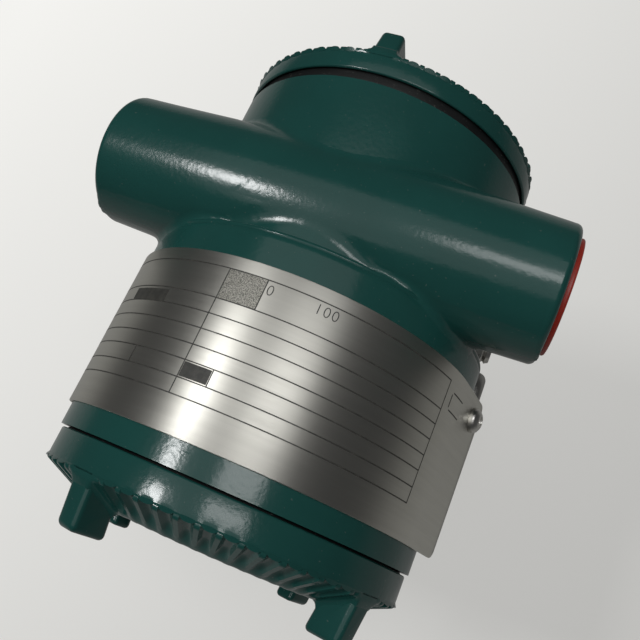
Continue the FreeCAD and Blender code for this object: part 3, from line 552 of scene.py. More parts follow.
def board_lacquer():
    """Green solder mask with faint tracks under it."""
    material, tree, shader = new_material("board lacquer")
    turned = mapped(tree, object_place(tree), Rotation=(math.pi / 2, 0.0, 0.0))
    cells = feed(tree, tree.nodes.new("ShaderNodeTexBrick"), Vector=turned, Scale=220.0, Mortar_Size=0.06,
                 Color1=(0.010, 0.085, 0.030, 1.0), Color2=(0.013, 0.105, 0.038, 1.0),
                 Mortar=(0.030, 0.160, 0.060, 1.0))
    feed(tree, shader, Base_Color=cells.outputs["Color"], Roughness=0.28)
    bumped(tree, shader, cells.outputs["Fac"], 0.00003)
    return material


MATERIALS = {}


def finish_of(name):
    """The finish by name, made once."""
    if name not in MATERIALS:
        settings = bpy.context.scene.transmitter_paint
        makers = {
            "housing_paint": enamel,
            "plate_steel": brushed_plate,
            "etched": etched,
            "speckle": etched_speckle,
            "black_rubber": rubber,
            "red_plastic": lambda: moulded("red plug", tuple(settings.plug), 0.38),
            "black_plastic": lambda: moulded("black moulding", (0.012, 0.012, 0.013, 1.0), 0.42),
            "gasket_white": lambda: moulded("white gasket", (0.72, 0.72, 0.69, 1.0), 0.50, 500.0, 0.00004),
            "cable_grey": lambda: moulded("grey ribbon", (0.23, 0.23, 0.24, 1.0), 0.45, 900.0),
            "stainless": lambda: turned_steel("stainless", (300.0, 2500.0, 2500.0)),
            "cast_stainless": cast_steel,
            "board_green": board_lacquer,
            "plated_brass": lambda: turned_steel("plated brass", (2500.0, 2500.0, 300.0),
                                                 (0.62, 0.55, 0.40), 0.22),
        }
        MATERIALS[name] = makers[name]()
    return MATERIALS[name]


def dress(piece, slot, body=None, replaced=(), finish=None):
    """Gives a piece its finish and fastens it to its body."""
    piece.data.materials.clear()
    piece.data.materials.append(finish_of(finish or slot))
    if body:
        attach(piece, body)
    if replaced:
        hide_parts(*replaced)
    return piece


def dress_solids(nodes_by_slot):
    """Finishes on the solids that stay as they are."""
    for slot, nodes in nodes_by_slot.items():
        for node in nodes:
            dress(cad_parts[node], slot)


# Housing

class TRANSMITTER_OT_housing(bpy.types.Operator):
    """Paint the housing casting"""
    bl_idname = "transmitter.housing"
    bl_label = "Housing"

    def execute(self, context):
        dress_solids({"housing_paint": ["amplifier_housing"]})
        return {"FINISHED"}


FRONT_DRUM_R = 44.9
REAR_DRUM_R = 41.0
DRUM_STEP_Y = -14.0
DRUM_STEP_ROUND = 2.5
TUBE_MID_R = 18.1
TUBE_END_R = 16.2
NECK_R = 20.0
NECK_LOW_Z = 98.0
FLANK_BOSS_R = 6.5
FLANK_BOSS_REACH = 44.5
FLANK_DEGS = (-40.0, 220.0)
FLANK_Y = 8.0
SHARP_SEAM_Y = -8.0


def off_drum(p):
    """Distance of a point from the skin of the drum, in millimetres."""
    r = math.hypot(p.x, p.z - DRUM_CENTRE.z) / MM
    y = p.y / MM
    if y > DRUM_STEP_Y:
        return min(abs(r - REAR_DRUM_R), math.hypot(y - DRUM_STEP_Y, max(0.0, r - FRONT_DRUM_R)))
    return min(abs(r - FRONT_DRUM_R), abs(y - DRUM_STEP_Y))


def off_tube(p):
    r = math.hypot(p.y, p.z - TUBE_AXIS_Z * MM) / MM
    skin = TUBE_MID_R + (TUBE_END_R - TUBE_MID_R) * min(1.0, abs(p.x) / (TUBE_END_X * MM))
    return abs(r - skin)


def off_neck(p):
    if p.z > DRUM_CENTRE.z:
        return 99.0
    return abs(math.hypot(p.x, p.y) / MM - NECK_R)


def off_bosses(p):
    near = 99.0
    for angle_deg in FLANK_DEGS:
        axis = (polar(angle_deg, 1.0, 0.0) - DRUM_CENTRE).normalized()
        out = p - DRUM_CENTRE - DRUM_Y * (FLANK_Y * MM)
        if out.dot(axis) > 0.0:
            near = min(near, abs((out - axis * out.dot(axis)).length / MM - FLANK_BOSS_R))
    return near


def near_seam(p, reach):
    """1 on a seam between the drum and what stands on it, falling to 0 at the reach."""
    away = max(off_drum(p), min(off_tube(p), off_neck(p), off_bosses(p)))
    if p.y / MM < SHARP_SEAM_Y and p.z / MM > TUBE_AXIS_Z:
        reach = reach * 0.4
    return smooth_step(1.0 - away / reach)


def on_tube(p):
    """Whether a point is on the bare run of the cross tube."""
    outside = math.hypot(p.x, p.z - DRUM_CENTRE.z) / MM
    drum = FRONT_DRUM_R if p.y / MM < DRUM_STEP_Y else REAR_DRUM_R
    return off_tube(p) < 0.6 and outside > drum - 0.3 and abs(p.x) < (TUBE_END_X - 1.9) * MM


def tube_skin_r(x):
    """Radius of the tube's skin: its two tapers, run together smoothly over the middle."""
    taper = (TUBE_MID_R - TUBE_END_R) / TUBE_END_X
    ease = 13.0
    proud = taper * ease * (1.0 - smooth_step((abs(x) - 10.0) / 42.0))
    return TUBE_MID_R + 0.07 - taper * math.hypot(x, ease) + proud


def drum_form():
    section = eased([
        (0.0, FRONT_RIM_Y, 0), (FRONT_DRUM_R, FRONT_RIM_Y, 0),
        (FRONT_DRUM_R, DRUM_STEP_Y, DRUM_STEP_ROUND), (REAR_DRUM_R, DRUM_STEP_Y, 0),
        (REAR_DRUM_R, REAR_RIM_Y, 0), (0.0, REAR_RIM_Y, 0)], 8)
    return turned_piece("drum_form", section, 360, DRUM_CENTRE, DRUM_Y, ALONG_X)


def tube_form():
    inner = [(tube_skin_r(x), float(x)) for x in range(-54, 55, 2)]
    section = [(0.0, -TUBE_END_X), (TUBE_END_R, -TUBE_END_X)] + inner
    section += [(TUBE_END_R, TUBE_END_X), (0.0, TUBE_END_X)]
    centre = Vector((0.0, 0.0, TUBE_AXIS_Z)) * MM
    return turned_piece("tube_form", section, 360, centre, ALONG_X, DRUM_Y)


def post_form(radius, start, axis, length):
    side = axis.orthogonal().normalized()
    section = [(0.0, 0.0), (radius, 0.0), (radius, length), (0.0, length)]
    return turned_piece("post_form", section, 160, start, axis, side)


def seam_fillets(reach, rounds):
    """The soft cast fillets where the tube, neck and bosses meet the drum, laid over the solid."""
    forms = [drum_form(), tube_form()]
    forms.append(post_form(NECK_R, Vector((0.0, 0.0, NECK_LOW_Z * MM)), UP, 30.0))
    for angle_deg in FLANK_DEGS:
        axis = (polar(angle_deg, 1.0, 0.0) - DRUM_CENTRE).normalized()
        start = DRUM_CENTRE + DRUM_Y * (FLANK_Y * MM) + axis * (30.0 * MM)
        forms.append(post_form(FLANK_BOSS_R, start, axis, FLANK_BOSS_REACH - 30.0))
    target = joined(forms)
    skin = target.copy()
    skin.data = target.data.copy()
    bpy.context.collection.objects.link(skin)
    apply(skin, "REMESH", mode="VOXEL", voxel_size=0.6 * MM)
    choose(skin, lambda co: near_seam(co, reach * 1.5) <= 0.0 and not on_tube(co))
    bpy.ops.mesh.delete(type="VERT")
    leave_edit()
    grouped(skin, "seams", lambda co: near_seam(co, reach))
    apply(skin, "SHRINKWRAP", target=target, wrap_method="NEAREST_SURFACEPOINT", wrap_mode="ON_SURFACE",
          vertex_group="seams", invert_vertex_group=True)
    apply(skin, "SMOOTH", factor=0.5, iterations=rounds, vertex_group="seams")
    bpy.data.objects.remove(target)
    pick(skin)
    bpy.ops.object.shade_smooth()
    sink = skin.vertex_groups.new(name="sunk")
    for v in skin.data.vertices:
        if not on_tube(v.co) or near_seam(v.co, reach) > 0.0:
            sink.add([v.index], 1.0, "REPLACE")
    apply(skin, "DISPLACE", strength=-0.04 * MM, mid_level=0.0, vertex_group="sunk")
    skin.vertex_groups.clear()
    return named(skin, "cast_tube_and_seams")


def shoulder_bead():
    """The thin raised edge that runs round the shoulder of the front drum."""
    section = eased([
        (43.2, DRUM_STEP_Y - 1.5, 0), (44.60, DRUM_STEP_Y - 1.55, 0.1), (44.88, DRUM_STEP_Y - 0.95, 0.25),
        (44.70, DRUM_STEP_Y - 0.45, 0.3), (43.4, DRUM_STEP_Y + 0.1, 0), (43.2, DRUM_STEP_Y - 1.5, 0)], 5)
    return turned_piece("shoulder_bead", section, 480, DRUM_CENTRE, DRUM_Y, ALONG_X)


class TRANSMITTER_OT_seams(bpy.types.Operator):
    """Lay the soft cast fillets along the seams of the housing"""
    bl_idname = "transmitter.seams"
    bl_label = "Casting seams"

    def execute(self, context):
        dress(seam_fillets(4.5, 40), "housing_paint", "amplifier")
        dress(shoulder_bead(), "housing_paint", "amplifier")
        return {"FINISHED"}


# Covers

def cover_profile(size):
    """Half section of a cover: its rim at 0, its face towards minus."""
    thread = []
    y = 2.2
    while y < SPIGOT_LENGTH - 2.2:
        thread += [(SPIGOT_R, y, 0), (SPIGOT_R, y + 0.3, 0)]
        thread += [(SPIGOT_R - 0.6, y + 0.9, 0), (SPIGOT_R - 0.6, y + 1.1, 0)]
        y += 1.5
    radius = size["radius"]
    band = -size["band"]
    face_r = radius - SHOULDER_WIDTH
    line = eased([
        (0.0, -COVER_DEPTH, 0),
        (face_r + 0.4, -COVER_DEPTH, 2.4),
        (radius + RIB_RISE, band - 0.8, 1.0),
        (radius + RIB_RISE * 0.35, band - 0.15, 0.3),
        (radius, band + 0.15, 0.25),
        (radius, band + 0.9, 0),
        (radius, 0.0, 0.45),
        (size["seal_r"] + 0.3, 0.0, 0.15),
        (size["seal_r"] + 0.3, -SEAL_SEAT, 0),
        (SPIGOT_R - 0.2, -SEAL_SEAT, 0),
        (SPIGOT_R - 0.2, 1.8, 0),
    ] + thread + [
        (SPIGOT_R - 0.2, SPIGOT_LENGTH, 0.6),
        (CUP_R, SPIGOT_LENGTH, 0.4),
        (CUP_R, CUP_FLOOR + CUP_CORNER, 1.2),
        (CUP_R - CUP_CORNER, CUP_FLOOR, 1.2),
        (0.0, CUP_FLOOR, 0),
    ], 5)
    return finer(line, 0.40, lambda r, y: y < band + 0.3 and r > face_r - 2.5 and y < CUP_FLOOR + (r - CUP_R))


def finer(line, longest, wanted):
    """Adds points on the runs where fine shapes follow."""
    out = [line[0]]
    for a, b in zip(line, line[1:]):
        pieces = math.ceil((b - a).length / longest) if wanted(*b) else 1
        out += [a.lerp(b, n / pieces) for n in range(1, pieces + 1)]
    return out


def from_lug(angle_deg):
    """Angle to the nearest lug, from -45 to 45 degrees."""
    return (angle_deg + 45.0) % 90.0 - 45.0


def scallop_share(angle_deg):
    """Depth share of the scallop at an angle from a lug: 0 on a rib, 1 in mid scallop."""
    place = (from_lug(angle_deg) - 45.0) / FLUTE_PITCH_DEG
    across = 2.0 * abs(place - round(place)) / (1.0 - RIB_SHARE)
    hollow = max(0.0, 1.0 - across ** 3.4)
    clear = smooth_step((abs(from_lug(angle_deg)) - 6.2) / 2.0)
    return clear * (math.sqrt(hollow * hollow + 0.01) - 0.1)


def lug_fillet(size, r, angle_deg, ease):
    """How far the shell rises into the foot of the nearest lug."""
    outer = size["radius"] - LUG_ROOT_FROM_SIDE
    side = abs(math.radians(from_lug(angle_deg))) * r - LUG_WIDTH / 2 + 0.3
    end = max(outer - LUG_LENGTH - r, r - outer)
    away = math.hypot(max(side, 0.0), max(end, 0.0))
    if away >= ease:
        return 0.0
    return ease - math.sqrt(ease * ease - (ease - away) ** 2)


def carve_scallops(shell, size, depth):
    """Presses the scallops into the shoulder and draws the shell up round the lugs."""
    face_r = size["radius"] - SHOULDER_WIDTH
    start = -size["band"]
    normals = [v.normal.copy() for v in shell.data.vertices]
    for v, normal in zip(shell.data.vertices, normals):
        x, y, z = v.co / MM
        r = math.hypot(x, z)
        if y > start + 0.4 or r < face_r - 2.6 or y > CUP_FLOOR + (r - CUP_R):
            continue
        angle_deg = math.degrees(math.atan2(z, x))
        wall = smooth_step((start + 0.3 - y) / 0.9)
        fade = 1.0 - 0.94 * smooth_step((size["radius"] - 4.4 - r) / 4.6)
        v.co = v.co - normal * (depth * scallop_share(angle_deg) * wall * fade)
        level = size["radius"] + RIB_RISE * smooth_step((abs(from_lug(angle_deg)) - 4.0) / 2.0)
        if r > level:
            v.co.x *= level / r
            v.co.z *= level / r
        rise = min(lug_fillet(size, r, angle_deg, 1.4), size["radius"] - r)
        if rise > 0.0:
            v.co = v.co + normal * (rise * MM)


def lug_block(size, ease):
    """One drafted, rounded wrench lug at angle zero, with its root inside the shell."""
    deselect()
    outer = size["radius"] - LUG_FROM_SIDE
    root = -size["band"] + 0.8
    middle = Vector((outer - LUG_LENGTH / 2, (root - size["reach"]) / 2, 0.0)) * MM
    bpy.ops.mesh.primitive_cube_add(size=MM, location=middle)
    lug = bpy.context.object
    edit_all()
    bpy.ops.transform.resize(value=(LUG_LENGTH, size["reach"] + root, LUG_WIDTH))
    leave_edit()
    settle()
    choose(lug, lambda co: co.y < middle.y)
    bpy.ops.transform.resize(value=(0.97, 1.0, 0.88))
    choose(lug, lambda co: co.y > middle.y and co.x > middle.x)
    bpy.ops.transform.translate(value=((LUG_FROM_SIDE - LUG_ROOT_FROM_SIDE) * MM, 0.0, 0.0))
    choose(lug, lambda co: co.y > middle.y and co.x < middle.x)
    bpy.ops.transform.translate(value=(2.6 * MM, 0.0, 0.0))
    bpy.ops.mesh.select_all(action="SELECT")
    bpy.ops.mesh.bevel(offset=ease, segments=5, profile=0.5)
    leave_edit()
    return tidy(lug)


def four_times(piece):
    """The piece and three copies round the drum axis, which runs through the origin meanwhile."""
    return joined([piece] + [copied(piece, Matrix.Rotation(-math.pi / 2 * k, 4, "Y")) for k in (1, 2, 3)])


def make_cover(name, size):
    """A cover round the origin, its face towards -Y and its first lug at angle zero."""
    settings = bpy.context.scene.transmitter_covers
    corner = Vector((math.sqrt(0.5), 0.0, math.sqrt(0.5)))
    quarter = turned_piece(name, cover_profile(size), settings.steps, Vector(), DRUM_Y, corner, math.pi / 2)
    carve_scallops(quarter, size, settings.flute_depth)
    shell = four_times(quarter)
    tidy(shell, 38.0, 5e-6)
    united(shell, [four_times(lug_block(size, settings.lug_round))])
    return named(tidy(shell, 38.0), name)


class TRANSMITTER_OT_covers(bpy.types.Operator):
    """Make the two screwed covers"""
    bl_idname = "transmitter.covers"
    bl_label = "Covers"

    def execute(self, context):
        turns = (
            Matrix.Rotation(-math.radians(FRONT_LUG_DEG), 4, "Y"),
            Matrix.Rotation(math.pi, 4, "Z") @ Matrix.Rotation(math.radians(REAR_LUG_DEG), 4, "Y"))
        for (name, size, rim, way), turn in zip(COVERS, turns):
            cover = make_cover(name + "_screw_cover", size)
            place = DRUM_CENTRE + DRUM_Y * (rim + way * size["gap"]) * MM
            cover.data.transform(Matrix.Translation(place) @ turn)
            dress(cover, "housing_paint", name + "_cover", [name + "_cover"])
        return {"FINISHED"}


class TRANSMITTER_OT_seals(bpy.types.Operator):
    """Make the rubber seals behind the covers"""
    bl_idname = "transmitter.seals"
    bl_label = "Cover seals"

    def execute(self, context):
        for name, size, rim, way in COVERS:
            half = (size["gap"] + SEAL_SEAT) / 2
            outer = size["seal_r"] - 0.05
            section = eased([
                (SEAL_INNER_R, 0.0, 0), (SEAL_INNER_R, -half, 0.4), (outer, -half, 0.7),
                (outer, half, 0.7), (SEAL_INNER_R, half, 0.4), (SEAL_INNER_R, 0.0, 0),
            ], 5)
            centre = DRUM_CENTRE + DRUM_Y * (rim + way * half) * MM
            ring = turned_piece(name + "_seal_ring", section, 240, centre, DRUM_Y, ALONG_X)
            dress(ring, "black_rubber", name + "_seal", [name + "_cover_seal"])
        return {"FINISHED"}


# Name plate

def plate_path():
    """The run of the plate's inner face, from the tail on the right over the top to the left."""
    inner = PLATE_R - PLATE_T
    a = math.radians(PLATE_LIFT_DEG)
    tails = []
    for side, angle_deg in ((1, PLATE_LIFT_DEG), (-1, 180.0 - PLATE_LIFT_DEG)):
        down = Vector((math.sin(a) * side, 0.0, -math.cos(a)))
        tails.append([polar(angle_deg, inner, 0.0) + down * (PLATE_TAIL * MM * n / 8) for n in range(9)])
    arc = [polar(PLATE_LIFT_DEG + n, inner, 0.0) for n in range(1, int(180.0 - 2.0 * PLATE_LIFT_DEG))]
    return tails[0][::-1] + arc + tails[1]


def along_plate(place):
    """Distance along the plate from its top, in metres, growing towards +X."""
    x = place.x - DRUM_CENTRE.x
    z = place.z - DRUM_CENTRE.z
    angle = math.atan2(z, x)
    lift = math.radians(PLATE_LIFT_DEG)
    inner = (PLATE_R - PLATE_T) * MM
    if lift < angle < math.pi - lift:
        return (math.pi / 2 - angle) * inner
    side = 1.0 if x > 0 else -1.0
    start = polar(PLATE_LIFT_DEG if x > 0 else 180.0 - PLATE_LIFT_DEG, inner / MM, 0.0)
    reach = math.hypot(place.x - start.x, place.z - start.z)
    return side * ((math.pi / 2 - lift) * inner + reach)


def map_plate(piece):
    """The UV map that the brushing follows, in metres along and across the plate."""
    layer = piece.data.uv_layers.new(name="plate")
    for loop in piece.data.loops:
        place = piece.data.vertices[loop.vertex_index].co
        layer.data[loop.index].uv = (along_plate(place), place.y)


def sheet_plate():
    path = [p + DRUM_Y * (PLATE_FRONT_Y * MM) for p in plate_path()]
    plate = point(path[0])
    draw(path)
    bpy.ops.mesh.select_all(action="SELECT")
    bpy.ops.mesh.extrude_region_move(
        TRANSFORM_OT_translate={"value": DRUM_Y * ((PLATE_REAR_Y - PLATE_FRONT_Y) * MM)})
    leave_edit()
    settle()
    last = max(along_plate(v.co) for v in plate.data.vertices)
    choose(plate, lambda co: abs(abs(along_plate(co)) - last) < 1e-5)
    bpy.ops.mesh.bevel(offset=PLATE_CORNER_R * MM, segments=6, affect="VERTICES")
    leave_edit()
    tidy(plate)
    up = sum(p.normal.z * p.area for p in plate.data.polygons)
    apply(plate, "SOLIDIFY", thickness=PLATE_T * MM, offset=1.0 if up > 0 else -1.0)
    apply(plate, "BEVEL", width=0.00014, segments=2, limit_method="ANGLE", angle_limit=math.radians(50))
    tidy(plate, 45.0)
    map_plate(plate)
    return named(plate, "brushed_name_plate")


def flat_bar(left, right, low, high):
    """A flat strip, laid out as the plate is before it is bent: x along it, y across it."""
    deselect()
    middle = Vector(((left + right) / 2, (low + high) / 2, 0.0)) * MM
    bpy.ops.mesh.primitive_plane_add(size=MM, location=middle)
    bar = bpy.context.object
    edit_all()
    bpy.ops.transform.resize(value=(right - left, high - low, 1.0))
    leave_edit()
    settle()
    return bar


def flat_number(text, left, low, height):
    """Plain figures as a flat mesh, with the left end and the foot at the given place."""
    deselect()
    bpy.ops.object.text_add(location=(0.0, 0.0, 0.0))
    figure = bpy.context.object
    figure.data.body = text
    figure.data.size = height * MM / 0.70
    figure.data.space_character = 1.12
    figure.data.resolution_u = 6
    figure.data.offset = -0.05 * MM
    bpy.ops.object.convert(target="MESH")
    figure = bpy.context.object
    corner = min(v.co.x for v in figure.data.vertices)
    foot = min(v.co.y for v in figure.data.vertices)
    figure.data.transform(Matrix.Translation((left * MM - corner, low * MM - foot, 0.0)))
    return figure


def bend_onto_plate(piece, rise):
    """Cuts a flat piece into short runs and wraps it round the plate, closed underneath."""
    pick(piece)
    bpy.ops.object.mode_set(mode="EDIT")
    left = min(v.co.x for v in piece.data.vertices)
    right = max(v.co.x for v in piece.data.vertices)
    cuts = int((right - left) / (1.2 * MM))
    for n in range(1, cuts):
        bpy.ops.mesh.select_all(action="SELECT")
        bpy.ops.mesh.bisect(plane_co=(left + (right - left) * n / cuts, 0.0, 0.0), plane_no=(1.0, 0.0, 0.0))
    leave_edit()
    radius = PLATE_R + rise
    for v in piece.data.vertices:
        v.co = polar(90.0 - math.degrees(v.co.x / (PLATE_R * MM)), radius, v.co.y / MM)
    edit_all()
    bpy.ops.mesh.remove_doubles(threshold=1e-6)
    leave_edit()
    up = sum(p.normal.z * p.area for p in piece.data.polygons)
    apply(piece, "SOLIDIFY", thickness=0.05 * MM, offset=-1.0 if up > 0 else 1.0)
    return tidy(piece)


def at_angle(angle_deg):
    """Distance along the flat plate, in millimetres, of an angle on the drum."""
    return math.radians(90.0 - angle_deg) * PLATE_R


# The ruled form: places along the drum in millimetres and round it in degrees
FORM_TOP_Y = -25.7
ROW_LINES = (-32.6, -36.1, -39.6, -43.2, -46.6, -50.3, -53.7)
FORM_FOOT_Y = ROW_LINES[-1]
FORM_LEFT_DEG = 152.0
FORM_RIGHT_DEG = 30.3
DIVIDER_DEG = 101.4
FIELD_RIGHT_DEG = 90.2
LINE = 0.26
LINE_SMALL = 0.30
FIGURE_HEIGHT = 2.3


def plate_grid():
    """The ruled form on the plate, without any of its words."""
    left = at_angle(FORM_LEFT_DEG)
    right = at_angle(FORM_RIGHT_DEG)
    divider = at_angle(DIVIDER_DEG)
    bars = []
    for y in (FORM_TOP_Y,) + ROW_LINES:
        bars.append(flat_bar(left, right, y - LINE / 2, y + LINE / 2))
    for x, low, high in ((right, FORM_FOOT_Y, FORM_TOP_Y), (divider, FORM_FOOT_Y, FORM_TOP_Y),
                         (left, FORM_FOOT_Y, FORM_TOP_Y), (at_angle(93.0), ROW_LINES[5], ROW_LINES[4]),
                         (at_angle(119.0), ROW_LINES[5], ROW_LINES[4]),
                         (at_angle(FIELD_RIGHT_DEG), ROW_LINES[0], FORM_TOP_Y)):
        bars.append(flat_bar(x - LINE / 2, x + LINE / 2, low - LINE / 2, high + LINE / 2))
    bars.append(flat_number("0", at_angle(88.6) - 0.7, -28.8, FIGURE_HEIGHT))
    bars.append(flat_number("100", at_angle(75.8), -28.6, FIGURE_HEIGHT))
    bars.append(flat_bar(at_angle(134.0), at_angle(117.5), -36.0, -33.2))
    bars.append(flat_bar(divider + 0.2, at_angle(93.0) - 0.2, -50.0, -46.9))
    for x in (27.0, 14.5):
        middle = at_angle(x)
        bars.append(flat_bar(middle - LINE_SMALL / 2, middle + LINE_SMALL / 2, -31.0, -28.0))
    for y in (-27.5, -31.5):
        bars.append(flat_bar(at_angle(26.4), at_angle(15.1), y - LINE_SMALL / 2, y + LINE_SMALL / 2))
    return named(joined(bars), "plate_ruled_form")


class TRANSMITTER_OT_name_plate(bpy.types.Operator):
    """Make the brushed plate with its ruled form"""
    bl_idname = "transmitter.name_plate"
    bl_label = "Name plate"

    def execute(self, context):
        dress(sheet_plate(), "plate_steel", "amplifier", ["name_plate"])
        dress(bend_onto_plate(plate_grid(), 0.02), "plate_steel", "amplifier", finish="etched")
        field = flat_bar(at_angle(DIVIDER_DEG), at_angle(FIELD_RIGHT_DEG), ROW_LINES[0], FORM_TOP_Y)
        named(field, "plate_stippled_field")
        dress(bend_onto_plate(field, 0.012), "plate_steel", "amplifier", finish="speckle")
        return {"FINISHED"}


# Dust plug

class TRANSMITTER_OT_conduit_plug(bpy.types.Operator):
    """Make the dust plug in the conduit entry"""
    bl_idname = "transmitter.conduit_plug"
    bl_label = "Dust plug"

    def execute(self, context):
        section = eased([
            (0.0, 0.75, 0), (8.4, 0.75, 0.25), (9.2, PLUG_T, 0.3), (PLUG_R, PLUG_T, 0.45),
            (PLUG_R, 0.0, 0.15), (PLUG_SPIGOT_R, 0.0, 0), (PLUG_SPIGOT_R, -0.9, 0.2),
            (PLUG_SPIGOT_R - 0.3, -1.4, 0.2), (PLUG_SPIGOT_R, -2.0, 0.2), (PLUG_SPIGOT_R, -8.3, 0.4),
            (PLUG_SPIGOT_R - 0.6, -9.0, 0.1), (PLUG_SPIGOT_R - 1.3, -9.0, 0.1),
            (PLUG_SPIGOT_R - 1.3, -0.2, 0.3), (0.0, -0.2, 0),
        ], 4)
        centre = Vector((TUBE_END_X, 0.0, TUBE_AXIS_Z)) * MM
        plug = turned_piece("red_dust_plug", section, 128, centre, ALONG_X, DRUM_Y)
        dress(plug, "red_plastic", "amplifier", ["conduit_plug"])
        return {"FINISHED"}


# Screws, bolts, nuts and plugs

def common(piece, other):
    apply(piece, "BOOLEAN", operation="INTERSECT", solver="EXACT", object=other)
    bpy.data.objects.remove(other)
    return piece


def hex_bar(across_flats, start, axis, length, near, far, bore=0.0):
    """A hexagon with a corner upwards, chamfered at its near and far ends, with a bore if wanted."""
    corner = across_flats / math.sqrt(3.0)
    deselect()
    middle = (start + axis * (length / 2)) * MM
    turn = Matrix((UP.cross(axis), UP, axis)).transposed().to_euler()
    bpy.ops.mesh.primitive_cylinder_add(
        vertices=6, radius=corner * MM, depth=length * MM, location=middle, rotation=turn)
    bar = bpy.context.object
    settle()
    wide = corner + 0.6
    flat = across_flats / 2 - 0.25
    drop = (wide - flat) * math.tan(math.radians(30.0))
    section = [(flat, 0.0), (wide, drop)] if near else [(wide, -0.2)]
    section += [(wide, length - drop), (flat, length)] if far else [(wide, length + 0.2)]
    inner = [(bore, section[-1][1]), (bore, section[0][1]), section[0]] if bore else [(0.0, section[-1][1])]
    section = ([] if bore else [(0.0, section[0][1])]) + section + inner
    return common(bar, turned_piece("chamfers", section, 96, start * MM, axis, UP))


def threaded_rod(start, axis, radius, length, thread_from, pitch):
    """A rod from the start, threaded from a place to its chamfered end."""
    depth = pitch * 0.5
    section = [(0.0, 0.0), (radius, 0.0)]
    y = thread_from
    while y < length - pitch:
        section += [(radius, y), (radius - depth, y + pitch / 2)]
        y += pitch
    section += [(radius, y), (radius - depth, length - 0.05), (radius - depth - 0.3, length), (0.0, length)]
    return turned_piece("threaded_rod", section, 64, start * MM, axis, UP)


def repeated(piece, places):
    """The piece, which stands at the first place, and copies of it at the others."""
    moves = [Matrix.Translation((place - places[0]) * MM) for place in places[1:]]
    return joined([piece] + [copied(piece, move) for move in moves])


def bolt_places(x):
    return [Vector((x, y * BOLT_Y, CAPSULE_Z + z * BOLT_Z)) for y in (-1, 1) for z in (-1, 1)]


def bolt_form(start):
    head = hex_bar(BOLT_HEX, start - ALONG_X * BOLT_HEAD_T, ALONG_X, BOLT_HEAD_T, True, False)
    length = 2 * FLANGE_OUTER_X + NUT_T + BOLT_STICKOUT
    rod = threaded_rod(start - ALONG_X, ALONG_X, BOLT_R, length + 1.0, length - 11.0, 1.5)
    return united(head, [rod])


def plug_form(seat, axis, across_flats, hex_t, thread_length):
    body = hex_bar(across_flats, seat, axis, hex_t, False, True)
    return united(body, [threaded_rod(seat + axis * 1.0, -axis, 5.4, thread_length + 1.0, 2.0, 1.3)])


def vent_form(seat, axis):
    """A vent plug: its hexagon, its threaded end and the round nose that the vent screw seals in."""
    body = plug_form(seat, axis, 14.0, 8.0, 8.0)
    nose = eased([
        (0.0, 7.0, 0), (4.2, 7.0, 0), (4.2, 13.0, 0.5), (2.75, 13.0, 0.25), (2.75, 5.0, 0), (0.0, 5.0, 0)], 4)
    nose = [(2.75, 7.0), (4.2, 7.0)] + [(p[0], p[1]) for p in nose[2:-2]] + [(2.75, 7.0)]
    return united(body, [turned_piece("nose", nose, 64, seat * MM, axis, UP)])


def pan_head_screw(side):
    """A pan head screw with a cross recess, on the tail of the plate."""
    lift = math.radians(PLATE_LIFT_DEG)
    normal = Vector((side * math.cos(lift), 0.0, math.sin(lift)))
    tail = Vector((side * math.sin(lift), 0.0, -math.cos(lift)))
    seat = DRUM_CENTRE / MM + normal * PLATE_R + tail * (PLATE_TAIL - PLATE_SCREW_FROM_END)
    seat += DRUM_Y * PLATE_SCREW_Y
    section = eased([
        (0.0, PLATE_HEAD_T, 0), (1.7, PLATE_HEAD_T - 0.12, 1.2), (PLATE_HEAD_R - 0.15, 1.25, 0.9),
        (PLATE_HEAD_R, 0.0, 0.05), (1.5, 0.0, 0), (1.5, -6.6, 0.3), (0.0, -6.6, 0)], 5)
    head = turned_piece("pan_head", section, 72, seat * MM, normal, DRUM_Y)
    across = Vector((normal.y, normal.z, normal.x)).cross(normal).normalized()
    for spin_deg in (38.0, 128.0):
        way = Matrix.Rotation(math.radians(spin_deg), 3, normal) @ across
        deselect()
        turn = Matrix((way, normal.cross(way), normal)).transposed().to_euler()
        place = (seat + normal * (PLATE_HEAD_T - 0.25)) * MM
        bpy.ops.mesh.primitive_cube_add(size=MM, location=place, rotation=turn, scale=(3.3, 0.75, 1.9))
        bar = bpy.context.object
        settle()
        choose(bar, lambda co: (co / MM - seat).dot(normal) < PLATE_HEAD_T - 0.3)
        bpy.ops.transform.resize(value=(0.45, 0.45, 0.45))
        leave_edit()
        apply(head, "BOOLEAN", operation="DIFFERENCE", solver="EXACT", object=bar)
        bpy.data.objects.remove(bar)
    return head


